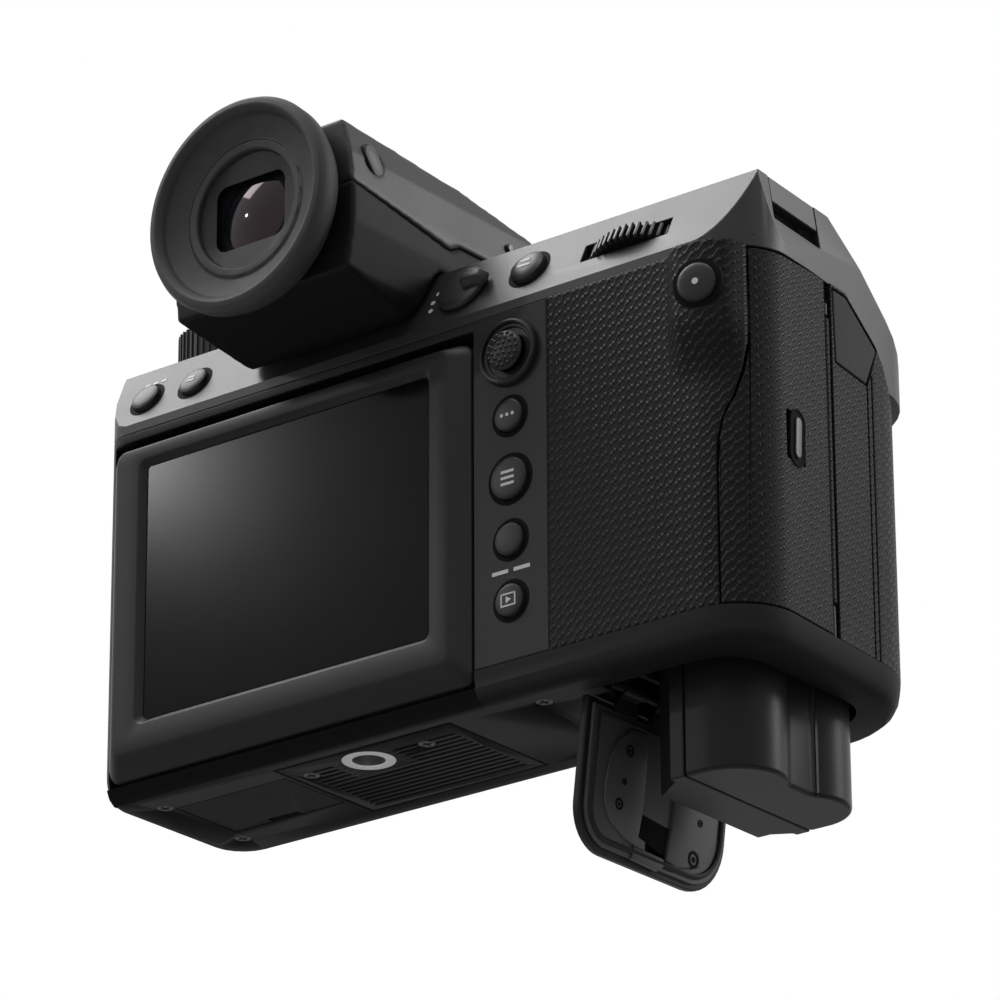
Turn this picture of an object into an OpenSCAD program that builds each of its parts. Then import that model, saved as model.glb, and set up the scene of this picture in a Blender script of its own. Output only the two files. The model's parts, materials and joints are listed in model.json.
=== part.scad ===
// Medium format digital camera, seen from behind: +X to the grip, +Y to the lens, +Z up.
// Origin: mouth of the tripod socket. All lengths in millimetres.
// The battery door hangs open and the battery is part-way out, as the camera is drawn here.

/* [Body] */
// Distance from the lens axis to the left side
body_left = 55.5; // [54:0.5:58]
// Distance from the tripod axis back to the rear panel
body_rear = 12.4; // [12:0.2:14]
// Distance from the tripod axis to the front face
body_front = 28.4; // [27.8:0.2:28.8]
// Height of the top deck
body_height = 88; // [87:0.5:92]
// Thickness of the outer shells
wall = 2; // [1.8:0.1:2.2]
// Thickness of the grip covering
skin = 1.2; // [1:0.1:1.4]
// Height of the rounded rim round the base
rim_height = 5.6; // [5.2:0.2:6.4]

/* [Grip] */
// Distance from the lens axis to the right side
grip_right = 94; // [93.4:0.2:95]
// Radius of the rear right corner
grip_rear_r = 11.5; // [10.5:0.5:12.5]
// Radius of the front of the grip
grip_front_r = 21; // [20.5:0.5:21.5]
// Furthest forward point of the grip
grip_front = 49.4; // [49:0.2:50.4]
// Furthest forward point of the nose under the shutter button
nose_front = 52.6; // [52:0.2:53.4]

/* [Top] */
// Height of the lower edge of the sloping rear facet
facet_low = 74.4; // [74:0.2:75]
// Tilt of the rear facet from upright, in degrees
facet_tilt = 26; // [24:1:28]
// Fall of the shutter deck, in degrees
deck_tilt = 38; // [37:0.5:39]

/* [Lens mount] */
// Height of the lens axis
lens_z = 43; // [42:0.5:44]
// Radius of the lens throat
throat_r = 32.5; // [31.5:0.5:33]
// Distance from the sensor plane to the mount face
flange_depth = 26.7; // [26:0.1:27.5]

/* [Monitor] */
// Width of the visible screen
screen_w = 67.1; // [64:0.5:69]
// Height of the visible screen
screen_h = 50.3; // [48:0.5:51]
// Thickness of the monitor housing
monitor_t = 6; // [5.8:0.1:6.4]

/* [Finder] */
// Half width of the finder at its widest
finder_half = 21.5; // [20.5:0.5:22.5]
// Height of the finder above the deck
finder_rise = 23; // [22:0.5:24]
// Outer radius of the eyecup
eyecup_r = 20.9; // [20.3:0.2:21.3]

/* [Battery] */
// Thickness of the battery from its flat back to its lobes
battery_x = 22.7; // [22.2:0.1:23]
// Width of the battery
battery_y = 37.6; // [37:0.2:38]
// Length of the battery
battery_z = 50; // [48:0.5:50.5]
// How far the battery hangs below the base
battery_drop = 18.5; // [15:0.5:18.5]
// Opening angle of the battery door, in degrees
door_angle = 97; // [95:1:97]

/* [Controls] */
// Radius of a small button
button_r = 3.1; // [2.8:0.1:3.3]
// Radius of the menu button
menu_r = 4; // [3.8:0.1:4.2]
// Radius of the mode dial
mode_r = 8.5; // [8:0.25:9]
// Radius of the shutter button
shutter_r = 5; // [4.6:0.1:5.2]
// Tripod thread, wall radius of the socket
thread_r = 3.0; // [2.9:0.05:3.2]

/* [Fits] */
// Running clearance of a pin in its hole
fit = 0.05; // [0.03:0.01:0.08]
// Gap between a moving piece and what it moves past
gap = 0.3; // [0.25:0.05:0.35]

/* [Hidden] */
$fn = 48;
eps = 0.01;
big = 200;
x_left = -body_left;
y_rear = -body_rear;
y_front = body_front;
z_top = body_height;
core = skin + 1.6;
rear_corner = 6;
front_corner = 9;
recess_fillet = 4;
grip_x = 71;
nose_r = 17.5;
nose_x = 72.6;
rear_c = [grip_right - grip_rear_r, y_rear + grip_rear_r];
front_c = [grip_x, grip_front - grip_front_r];
nose_c = [nose_x, nose_front - nose_r];
grip_seam = 50.6;
floor_t = 2.6;

// Split between the covers and the middle of the body, as heights over depth
split_rear = facet_low - 2.9;
split_side = facet_low - 1.1;
split_nose = facet_low - 14.4;
remote_top = [[14, split_side], [20.4, split_side], [31.5, split_side - 7.6], [37, split_nose]];
split_line = concat([[-60, split_rear - 0.8], [8, split_side]], remote_top, [[80, split_nose]]);
mid_line = [[-60, split_rear - 0.8], [8, split_side], [80, split_side]];
nose_x0 = grip_x - grip_front_r - recess_fillet;

// Rear facet
facet_turn = 90 - facet_tilt;
deck_y = 17;
side_lean = 8;
facet_slope = tan(facet_tilt);
deck_turn = 19.2;

// Monitor stack, from the recess floor back to the face of the frame
recess_floor = y_rear + 8.4;
frame_y1 = recess_floor - 0.4;
frame_y0 = frame_y1 - 1.6;
plate_y1 = frame_y0 - 0.4;
plate_y0 = plate_y1 - 1.6;
house_y1 = plate_y0 - 0.4;
house_y0 = house_y1 - monitor_t;
bevel_y = house_y0 + 3;
glass_sink = 1.3;
screen_x0 = -42.8;
screen_x1 = screen_x0 + screen_w;
screen_z0 = 13.9;
screen_z1 = screen_z0 + screen_h;
house_x0 = screen_x0 - 9.4;
house_x1 = screen_x1 + 9.2;
house_z0 = floor_t + 0.6;
house_z1 = screen_z1 + 4.9;
recess_x0 = house_x0 - 0.4;
recess_x1 = house_x1 + 0.4;
recess_z1 = house_z1 + 1.6;
face_x0 = screen_x0 - 6.5;
face_x1 = screen_x1 + 5;
face_z0 = screen_z0 - 5.8;
face_z1 = screen_z1 + 3.6;
low_axis = [house_y0 + 3.9, floor_t + 2];
top_axis = [house_y0 + 1.2, house_z1 - 1.6];
side_axis = [house_x1 - 2, house_y0 + 3.9];
hinge_r = 0.9;
pin_r = 0.5;

// Battery and its door
battery_x0 = 60.7;
battery_y0 = 0;
lobe_r = battery_y / 4;
battery_seam = battery_x0 + 9.2;
door_axis = [54, floor_t];
door_in = floor_t - 0.4;
door_out = 0.1;
door_start = door_axis[0] + 3.2;
door_end = battery_x0 + battery_x + 0.9;
door_y0 = battery_y0 - 4;
door_y1 = battery_y0 + battery_y + 1;
door_corner = 10.5;
hinge_y = [4, 14];
hinge_w = 6;
battery_home = floor_t + 6.8;
box_wall = 1.2;
box_gap = 0.35;

// Card door: its front seam, the strip that hides its hinge, and the hinge pin
card_seam = 12.9;
card_strip = card_seam + 2.2;
card_pin = [side_x(card_seam + 0.9) - 0.95, card_seam + 0.9];

// Lens side
sensor_y = 3.6;
flange_y = sensor_y + flange_depth;
collar_y = y_front + 1;
mount_r = throat_r + 6;
spigot_r = throat_r + 2.5;

// Finder
finder_y0 = y_rear - 18.8;
finder_y1 = y_front - 3.4;
finder_top = z_top + finder_rise;
eye_z = z_top + 8.5;
cup_y0 = finder_y0 - 8.3;
tube_r = 11.5;
tube_y1 = finder_y0 + 13;
diopter_r = 2.8;
diopter_yz = [y_rear - 10, z_top + 5];

// Button places
panel_x = 42.3;
panel_t = wall;
stick_z = 64.2;
quick_x = 85;
quick_z = 64.6;
quick_turn = asin((quick_x - rear_c[0]) / grip_rear_r);
quick_y = rear_c[1] - grip_rear_r * cos(quick_turn);
dial_c = [66.3, 80.5];
lever_c = [29.3, 81.1];
focus_on_c = [44.4, 81.1];
drive_c = [-46.5, 80];
picture_c = [-34.7, 80.2];
rear_dial_r = 11.5;
rear_dial_sink = 11;
mode_c = [-41.5, 6];
shutter_uv = [-28.2, 19.1];
front_dial_r = 8.5;
front_dial_c = [nose_x, nose_front - 8];
front_dial_z = split_nose + 3.9;
release_at = [-41.5, 20];
strap_y = [-2.5, 13.2];

// Outlines and blocks

function arc(c, r, a0, a1, n) =
  [for (k = [0:n]) c + r * [cos(a0 + (a1 - a0) * k / n), sin(a0 + (a1 - a0) * k / n)]];

function tangent_angle(c, r) =
  atan2(c[1] - rear_c[1], c[0] - rear_c[0]) - acos((grip_rear_r - r) / norm(c - rear_c));

// Angle below the grip's centre at which the fillet of the finger recess meets the grip's front curve
function recess_turn(c, r) = asin((y_front + recess_fillet - c[1]) / (r + recess_fillet));

// Width at depth y on the flat right side of the grip
function side_x(y) =
  let (t = tangent_angle(front_c, grip_front_r))
  (rear_c[0] * cos(t) + rear_c[1] * sin(t) + grip_rear_r - y * sin(t)) / cos(t);

// Plan outline of body and grip, drawn in by i; c and r are the round front of the grip
function outline(i, c, r) = concat(
  arc([x_left + rear_corner, y_rear + rear_corner], rear_corner - i, 180, 270, 4),
  arc(rear_c, grip_rear_r - i, 270, 360 + tangent_angle(c, r), 16),
  arc(c, r - i, 360 + tangent_angle(c, r), 540 - recess_turn(c, r), 18),
  arc([c[0] - (r + recess_fillet) * cos(recess_turn(c, r)), y_front + recess_fillet], recess_fillet + i,
    -recess_turn(c, r), -90, 4),
  arc([x_left + front_corner, y_front - front_corner], front_corner - i, 90, 180, 5));

function plan(i) = outline(i, front_c, grip_front_r);

module slab(i, z0, z1) {
  translate([0, 0, z0]) linear_extrude(z1 - z0) polygon(plan(i));
}

module box(p, q) {
  translate(p) cube(q - p);
}

// Prism along X with its outline given as depth and height
module prism_x(points, x0, x1) {
  translate([x0, 0, 0]) rotate([90, 0, 90]) linear_extrude(x1 - x0) polygon(points);
}

// Prism along Y with its outline given as width and height
module prism_y(points, y0, y1) {
  translate([0, y1, 0]) rotate([90, 0, 0]) linear_extrude(y1 - y0) polygon(points);
}

module rod_x(x0, x1, y, z, r) {
  translate([x0, y, z]) rotate([0, 90, 0]) cylinder(r = r, h = x1 - x0);
}

module rod_y(x, y0, y1, z, r) {
  translate([x, y0, z]) rotate([-90, 0, 0]) cylinder(r = r, h = y1 - y0);
}

module rod_z(x, y, z0, z1, r) {
  translate([x, y, z0]) cylinder(r = r, h = z1 - z0);
}

// Solid from stacked outlines that share their number of points; rows are [inset, height].
// Each end is a fan round a point that every part of the outline can see.
module loft(rows) {
  n = len(plan(0));
  top = len(rows) - 1;
  hub = [rear_c[0] - 12, 10];
  rings = [for (row = rows) for (p = plan(row[0])) [p[0], p[1], row[1]]];
  ends = [[hub[0], hub[1], rows[0][1]], [hub[0], hub[1], rows[top][1]]];
  sides = [for (k = [0:top - 1]) for (j = [0:n - 1])
    [k * n + j, (k + 1) * n + j, (k + 1) * n + (j + 1) % n, k * n + (j + 1) % n]];
  low = [for (j = [0:n - 1]) [len(rings), j, (j + 1) % n]];
  high = [for (j = [0:n - 1]) [len(rings) + 1, top * n + (j + 1) % n, top * n + j]];
  polyhedron(concat(rings, ends), concat(sides, low, high));
}

module below_split(drop) {
  base = [[80, -1], [-60, -1]];
  translate([0, 0, -drop]) prism_x(concat(base, split_line), nose_x0, big);
  translate([0, 0, -drop]) prism_x(concat(base, mid_line), -big, nose_x0);
}

module above_split(rise) {
  lid = [[80, 150], [-60, 150]];
  translate([0, 0, rise]) prism_x(concat(lid, split_line), nose_x0, big);
  translate([0, 0, rise]) prism_x(concat(lid, mid_line), -big, nose_x0);
}

function facet_y(z) = y_rear + (z - facet_low) * facet_slope;

// Frames for pieces set on a slope or face, with local +Z pointing out of it
module on_facet(x, z) {
  translate([x, facet_y(z), z]) rotate([facet_turn, 0, 0]) children();
}

module on_panel(x, z) {
  translate([x, y_rear, z]) rotate([90, 0, 0]) children();
}

module on_deck(u, v) {
  translate([grip_right, deck_y, z_top]) rotate([0, 0, -deck_turn]) rotate([-deck_tilt, 0, 0])
    translate([u, v, 0]) children();
}

module on_thumb() {
  translate([quick_x, quick_y, quick_z]) rotate([0, 0, quick_turn]) rotate([90, 0, 0]) children();
}

module on_front(x, z) {
  translate([x, y_front, z]) rotate([-90, 0, 0]) children();
}

// A button: cap that shows, and a flange that stops it behind a wall of thickness t
module push_button(r, out, t) {
  translate([0, 0, -t]) cylinder(r = r, h = out + t - 0.3);
  translate([0, 0, out - 0.3]) cylinder(r1 = r, r2 = r - 0.3, h = 0.3);
  translate([0, 0, -t - 0.7]) cylinder(r = r + 0.7, h = 0.7);
}

module button_hole(r, t) {
  translate([0, 0, -t - 3]) cylinder(r = r + gap / 2, h = t + 6);
}

// Upper body drawn in by i: flat deck, rear facet and falling shutter deck
module upper_body(i) {
  difference() {
    translate([0, 0, split_nose]) linear_extrude(z_top - i - split_nose)
      polygon(outline(i, nose_c, nose_r));
    translate([-big, y_rear, facet_low]) rotate([facet_turn, 0, 0])
      translate([0, -30, -i]) cube([2 * big, 90, 60]);
    on_deck(-250, -6) translate([0, 0, -i]) cube([400, 120, 60]);
    translate([side_x(0) - i, 0, facet_low + 1]) rotate([0, 0, 4.5]) rotate([0, -side_lean, 0])
      translate([0, -60, -20]) cube([30, 150, 60]);
  }
}

module middle_body(i) {
  intersection() {
    slab(i, rim_height, z_top);
    below_split(0);
  }
}

// Shapes shared by neighbours

module mount_boss(grow) {
  difference() {
    rod_y(0, y_front - core, collar_y, lens_z, mount_r + 1 + grow);
    box([-big, -60, -big], [big, 60, rim_height]);
  }
}

module monitor_recess() {
  box([recess_x0, -60, floor_t], [recess_x1, recess_floor, recess_z1]);
}

// Where the grip covering lies
module skin_zone() {
  box([grip_seam, -60, -1], [big, 90, big]);
  box([nose_x0 - 6, y_front + 1.5, -1], [big, 90, big]);
}

// Rear edge of the card door, as width and height: it steps back below the thumb rest
function card_edge(g) = [
  [91.5 - g, 150], [91.5 - g, 54], [90.8 - g, 48.8], [89.6 - g, 44.2], [87.9 - g, 40.4], [87 - g, 36],
  [86.8 - g, 30], [86.8 - g, -1], [150, -1], [150, 150]];

// Pocket that the card door lies in, and the opening behind it
module card_opening() {
  difference() {
    intersection() {
      prism_y(card_edge(gap), -30, card_strip);
      box([80, -30, rim_height - 1], [big, card_strip, split_side + 6]);
    }
    slab(wall + 0.2, 0, big);
  }
  box([88.4, -30, rim_height + 6], [big, card_strip, split_side - 7]);
}

function remote_outline(g) = [
  [15.9 - g, split_side - 1 + g], [20.3 + g / 2, split_side - 1 + g],
  [30.6 + g, split_side - 7.8 + g], [26.7 + g, 57.8 - g], [16.4 - g, 58.5 - g]];

// Outline of the battery door, grown by g, with two round corners at its free end
function door_outline(g) = concat(
  [[door_start - g, door_y0 - g]],
  arc([door_end - 8, door_y0 + 8], 8 + g, -90, 0, 10),
  arc([door_end - door_corner, door_y1 - door_corner], door_corner + g, 0, 90, 10),
  [[door_start - g, door_y1 + g]]);

// Body shells

module front_shell() {
  color("#1b1b1c") difference() {
    union() {
      difference() {
        covered_middle();
        slab(core, 0, big);
        box([-big, -60, -1], [grip_seam + 0.02, recess_floor + 1.2, big]);
        card_opening();
      }
      mount_boss(0);
      card_ear(rim_height, 11.5);
      card_ear(66.5, 69);
    }
    rod_z(card_pin[0], card_pin[1], 9.4, 68.6, pin_r + fit);
    rod_y(0, 0, 60, lens_z, spigot_r + 0.2);
    on_thumb() button_hole(button_r + 0.6, 6);
    on_front(release_at[0], release_at[1]) button_hole(4, 6);
    box([85, 19, 62], [big, 23, 66]);
    port_cut();
  }
}

// Middle of the body, drawn in where the grip covering lies on it
module covered_middle() {
  difference() {
    middle_body(0);
    skin_zone();
  }
  intersection() {
    middle_body(skin);
    skin_zone();
  }
}

// Ear that holds one end of the card door's pin
module card_ear(z0, z1) {
  rod_z(card_pin[0], card_pin[1], z0, z1, 0.75);
  box([card_pin[0] - 1.5, card_pin[1], z0], [card_pin[0] + 0.2, card_strip - 0.1, z1]);
  box([card_pin[0] - 1.5, card_pin[1], z0], [card_pin[0] - 0.5, card_strip + 0.3, z1]);
}

module port_cut() {
  box([x_left - 5, 0, 16], [x_left + 6, 9, 30]);
  box([x_left - 5, 0, 36], [x_left + 6, 9, 58]);
}

module rear_cover() {
  color("#1c1c1d") difference() {
    union() {
      intersection() {
        middle_body(0);
        box([-big, -60, 0], [grip_seam, recess_floor + 1.2, big]);
      }
      intersection() {
        slab(core, floor_t, rim_height);
        box([recess_x0, recess_floor, 0], [recess_x1 + wall, recess_floor + 1.2, 20]);
      }
      intersection() {
        slab(core, floor_t, rim_height);
        box([recess_x1, y_rear + core, 0], [recess_x1 + wall, recess_floor + 1.2, 20]);
      }
    }
    monitor_recess();
    box([recess_x1 + wall, y_rear + panel_t, -1], [big, 40, split_rear - 3]);
    for (z = [16.8, 28.3, 52]) on_panel(panel_x, z) button_hole(button_r, panel_t);
    on_panel(panel_x, 39.9) button_hole(menu_r, panel_t);
    on_panel(panel_x, stick_z) translate([0, 0, -6]) cylinder(r = 4.3, h = 12);
  }
}

module top_cover() {
  color("#232325") difference() {
    union() {
      difference() {
        upper_body(0);
        below_split(0);
        intersection() {
          upper_body(wall);
          above_split(wall);
        }
        slab(core, 0, split_side + 6);
      }
      intersection() {
        upper_body(0);
        for (side = [[84, grip_right], [x_left, x_left + 10]])
          box([side[0], -4.5, facet_low + 0.6], [side[1], 15.5, z_top]);
      }
      intersection() {
        upper_body(1);
        on_facet(dial_c[0], dial_c[1]) translate([0, 2.4, -rear_dial_sink])
          rotate([-90, 0, 0]) cylinder(r = 3, h = 20);
      }
    }
    strap_cut();
    mount_boss(0.2);
    rod_y(0, 0, 60, lens_z, spigot_r + 0.2);
    box([28, -1, z_top - 1.2], [60, 20, z_top + 5]);
    on_facet(drive_c[0], drive_c[1]) button_hole(button_r, wall);
    on_facet(picture_c[0], picture_c[1]) button_hole(button_r, wall);
    on_facet(focus_on_c[0], focus_on_c[1]) button_hole(3.6, wall);
    on_facet(lever_c[0], lever_c[1]) translate([0, 0, -4]) cylinder(r = 2 + fit, h = 8);
    on_facet(dial_c[0], dial_c[1]) dial_window();
    rod_z(mode_c[0], mode_c[1], z_top - 10, z_top + 5, 3 + fit);
    on_deck(shutter_uv[0], shutter_uv[1]) translate([0, 0, -5]) cylinder(r = 6.4 + fit, h = 10);
    box([nose_x - 9.5, nose_front - 10, front_dial_z - 2], [nose_x + 9.5, 80, front_dial_z + 2]);
  }
}

module strap_cut() {
  box([grip_right - 6, strap_y[0], z_top - 8.6], [big, strap_y[1], z_top + 5]);
  box([-big, strap_y[0], z_top - 8.6], [x_left + 6, strap_y[1], z_top + 5]);
}

// Slot for the rear dial, with a bearing hole in the boss above the wheel
module dial_window() {
  translate([-9.6, -2.1, -8]) cube([19.2, 4.2, 12]);
  translate([0, 0, -rear_dial_sink]) rotate([-90, 0, 0]) cylinder(r = 1.5 + fit, h = 9);
}

module base_plate() {
  color("#2a2a2b") difference() {
    loft([[2.5, 0], [1.2, 1], [0.45, 2.5], [0.1, 4.4], [0, rim_height]]);
    slab(core, floor_t, big);
    monitor_recess();
    rod_z(0, 0, -5, 10, 5);
    translate([0, 0, -5]) linear_extrude(12) polygon(door_outline(0.35));
    box([door_axis[0] - 1.7, hinge_y[0] - 5.6, -1], [door_start + 1, hinge_y[1] + hinge_w + 5.6, 10]);
    box([door_start - 1.35, door_y0 - gap, -1], [door_start + 1, door_y1 + gap, 10]);
    translate([-44 - gap, -2 - gap, -1]) cube([26 + 2 * gap, 16.7 + 2 * gap, 2.4]);
    for (k = [0:7]) box([-14, 6.6 + 1.7 * k, -1], [21, 7.4 + 1.7 * k, 0.3]);
    for (k = [0:4], side = [-14, 7]) box([side, -2 + 1.7 * k, -1], [side < 0 ? -7 : 21, -1.2 + 1.7 * k, 0.3]);
    for (p = screw_places()) rod_z(p[0], p[1], -1, 1.2, 1.8);
    pad_groove();
  }
  color("#2a2a2b") for (x = [-34, 11]) monitor_ear(x);
}

// Groove round the pad that a tripod plate rests on
module pad_groove() {
  difference() {
    box([-17, -6.8, -1], [24, 22, 0.3]);
    box([-16.4, -6.2, -2], [23.4, 21.4, 2]);
  }
}

function screw_places() = [[-13.4, 0], [13.4, 0], [-46, 19], [40, 19], [-46, -3], [43, -4]];

// Ear on the base that carries the lower monitor hinge
module monitor_ear(x) {
  box([x, low_axis[0] - 0.1, floor_t - eps], [x + 3, low_axis[0] + 1, low_axis[1]]);
  rod_x(x, x + 3, low_axis[0], low_axis[1], 1);
  start = x < 0 ? x + 3 : x - 2.6;
  rod_x(start, start + 2.6, low_axis[0], low_axis[1], pin_r);
}

module grip_ring() {
  intersection() {
    difference() {
      middle_body(0);
      slab(skin, -2, big);
    }
    skin_zone();
  }
}

module grip_skin_rear() {
  color("#18181a") difference() {
    union() {
      intersection() {
        grip_ring();
        box([0, -60, 0], [95, 4, big]);
      }
      intersection() {
        difference() {
          thumb_bump();
          slab(skin, -2, big);
        }
        box([0, -60, rim_height], [95, 4, split_rear]);
      }
    }
    prism_y(card_edge(gap), -60, card_seam);
    on_thumb() button_hole(button_r + 0.6, 6);
  }
}

module thumb_bump() {
  on_thumb() translate([1.4, 0.6, -11.6]) sphere(r = 14);
  on_thumb() translate([2, -8, -16.6]) sphere(r = 18);
}

module grip_skin_front() {
  color("#18181a") difference() {
    intersection() {
      grip_ring();
      union() {
        box([80, card_strip, 0], [big, 40, big]);
        box([nose_x0 - 6, y_front, 0], [big, 90, big]);
      }
    }
    prism_x(remote_outline(gap), 80, big);
    difference() {
      for (y = [26.9, 28.5]) box([80, y, 0], [big, y + 0.3, split_nose]);
      slab(0.5, -1, big);
    }
  }
}

// Frame inside

module chassis() {
  color("#8d8f92") difference() {
    box([-44, 12, 5], [45, y_front - core, z_top - 7]);
    rod_y(0, 0, 60, lens_z, spigot_r + 0.2);
    box([-52, 0, -1], [-39, 60, 40]);
    on_front(release_at[0], release_at[1]) translate([0, 0, -30]) cylinder(r = 8, h = 40);
  }
  color("#8d8f92") for (z = [6, 76]) box([-42, 10, z], [42, 12, z + 4]);
}

module lens_mount() {
  color("#c4c6c9") difference() {
    union() {
      rod_y(0, collar_y, flange_y, lens_z, mount_r);
      rod_y(0, 18, collar_y + eps, lens_z, spigot_r);
    }
    rod_y(0, 0, 60, lens_z, throat_r);
    for (a = [20, 140, 260]) translate([0, flange_y - 3.2, lens_z]) rotate([0, a, 0])
      translate([throat_r - 2, -5, -7]) cube([3.2, 4.5, 14]);
  }
}

module tripod_bush() {
  color("#b9babc") difference() {
    union() {
      rod_z(0, 0, 0, 7, 5);
      intersection() {
        rod_z(0, 0, floor_t, 4, 7);
        box([-10, recess_floor + 1.2, 0], [10, 10, 10]);
      }
    }
    rod_z(0, 0, -1, 6, thread_r);
    box([-10, -20, floor_t], [10, recess_floor + 1.2, 10]);
  }
}

module battery_box() {
  x0 = battery_x0 - box_gap;
  x1 = battery_x0 + battery_x + box_gap;
  y0 = battery_y0 - box_gap;
  y1 = battery_y0 + battery_y + box_gap;
  top = battery_home + battery_z + 0.6;
  color("#2c2d30") difference() {
    union() {
      box([x0 - box_wall, y0 - box_wall, floor_t + 0.2], [x1 + box_wall, y1 + box_wall, top + box_wall]);
      for (y = [hinge_y[0] - 5, hinge_y[1] + hinge_w + 2]) hinge_ear(y);
    }
    box([x0, y0, -1], [x1, y1, top]);
  }
  color("#b9babc") rod_y(door_axis[0], hinge_y[0] - 2.5, hinge_y[1] + hinge_w + 2.5, door_axis[1], 0.8);
}

module hinge_ear(y) {
  box([door_axis[0] - 3.6, y, floor_t + 0.2], [battery_x0 - 1, y + 3, floor_t + 2.4]);
  box([door_axis[0] - 1.2, y, floor_t - 1], [door_axis[0] + 1, y + 3, floor_t + 2.4]);
}

module main_board() {
  color("#1f4d33") box([-44, recess_floor + 1.2, 9], [recess_x1, recess_floor + 2.6, 66]);
  color("#77797c") box([-30, recess_floor + 2.6, 72], [30, 6.4, 76]);
}

module shutter_unit() {
  color("#202124") difference() {
    box([-38, 6.4, 9], [38, 10, 76]);
    box([-23, 0, lens_z - 17.5], [23, 20, lens_z + 17.5]);
  }
}

module card_reader() {
  y0 = y_rear + core;
  color("#a6a8ab") difference() {
    union() {
      box([53, y0, 14], [71.5, y0 + 6.8, 59]);
      box([71, y0 + 1.4, 14], [78, y0 + 6.8, 59]);
    }
    box([54, y0 + 2, 16], [90, y0 + 4, 48]);
    box([54, y0 + 4.6, 16], [90, y0 + 6.2, 50]);
  }
}

module strap_lugs() {
  color("#3a3b3d") intersection() {
    upper_body(0.05);
    union() {
      box([grip_right - 4, strap_y[0] + 0.1, z_top - 5.2], [big, strap_y[1] - 0.1, z_top]);
      box([-big, strap_y[0] + 0.1, z_top - 5.2], [x_left + 4, strap_y[1] - 0.1, z_top]);
    }
  }
}

module finder_shoe() {
  color("#9a9c9f") box([-9.3, -2, z_top], [9.3, 16, z_top + 1.8]);
}

module top_display() {
  color("#0c0d0f") box([28, -1, z_top - 1.2], [60, 20, z_top - 0.2]);
}

module stick_collar() {
  color("#1d1d1f") on_panel(panel_x, stick_z) difference() {
    union() {
      cylinder(r = 5, h = 1.1);
      translate([0, 0, -panel_t - 0.6]) cylinder(r = 4.3 - 0.02, h = panel_t + 0.7);
    }
    translate([0, 0, -6]) cylinder(r = 3.6, h = 12);
    translate([0, 0, 0.6]) cylinder(r = 4.2, h = 2);
  }
}

module screws() {
  color("#404144") for (p = screw_places()) difference() {
    rod_z(p[0], p[1], 0.15, 1.2, 1.6);
    translate([p[0] - 1.1, p[1] - 0.2, -1]) cube([2.2, 0.4, 1.6]);
    translate([p[0] - 0.2, p[1] - 1.1, -1]) cube([0.4, 2.2, 1.6]);
  }
  color("#b0b2b5") for (a = [45:90:315]) translate([0, 0, lens_z]) rotate([0, a, 0])
    translate([throat_r + 4.2, flange_y, 0]) rotate([-90, 0, 0]) cylinder(r = 1.1, h = 0.4);
}

// Battery and door

// The door is drawn closed and then swung open about its hinge
module door_pose() {
  translate([door_axis[0], 0, door_axis[1]]) rotate([0, door_angle, 0])
    translate([-door_axis[0], 0, -door_axis[1]]) children();
}

module battery_door() {
  color("#1e1e20") door_pose() difference() {
    union() {
      translate([0, 0, door_out]) linear_extrude(door_in - door_out - 0.6) polygon(door_outline(0));
      for (y = hinge_y) {
        rod_y(door_axis[0], y, y + hinge_w, door_axis[1], 1.3);
        box([door_axis[0], y, door_axis[1] - 1.2], [door_start + 1, y + hinge_w, door_axis[1] - 0.6]);
      }
    }
    rod_y(door_axis[0], -20, 60, door_axis[1], 0.8 + fit);
    box([door_end - 5.2, 14.9, door_out + 0.5], [door_end - 1.9, 23.1, 10]);
  }
}

module door_liner() {
  color("#26272a") door_pose() difference() {
    translate([0, 0, door_in - 0.6]) linear_extrude(0.6) polygon(door_outline(-1.2));
    box([door_end - 5.2, 14.9, -1], [door_end - 1.9, 23.1, 10]);
    for (y = [8, 30]) rod_z(door_end - 12, y, 0, 10, 1.2);
    for (y = hinge_y) box([0, y - 0.2, 0], [door_start + 1.2, y + hinge_w + 0.2, 10]);
  }
}

module door_latch() {
  color("#2c2d30") door_pose() {
    box([door_end - 5, 15.1, door_out + 0.6], [door_end - 3.1, 22.9, door_in - 0.1]);
  }
}

module battery_pose() {
  translate([battery_x0, battery_y0, -battery_drop]) children();
}

module battery_shell() {
  color("#1a1a1c") battery_pose() {
    lobe_x = battery_x - lobe_r;
    seam = battery_seam - battery_x0;
    translate([seam, 0, 0]) cube([lobe_x - seam, battery_y, battery_z]);
    intersection() {
      for (y = [lobe_r, 3 * lobe_r]) translate([lobe_x, y, 0]) cylinder(r = lobe_r, h = battery_z);
      translate([lobe_x, 0, 0]) cube([lobe_r, battery_y, battery_z]);
    }
    translate([lobe_x, lobe_r, 0]) cube([lobe_r * 0.77, 2 * lobe_r, battery_z]);
  }
}

module battery_back() {
  seam = battery_seam - battery_x0;
  corner = seam - 3;
  far = battery_y - 3;
  color("#202023") battery_pose() difference() {
    linear_extrude(battery_z) polygon([
      [seam, 0], [corner, 0], [corner, 1.4], [0, 5.8], [0, far], [2.8, far], [corner, battery_y - 1],
      [corner, battery_y], [seam, battery_y]]);
    for (k = [0:4]) translate([2, 9 + 4 * k, battery_z - 1.5]) cube([4, 2, 3]);
  }
}

// Monitor

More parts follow.
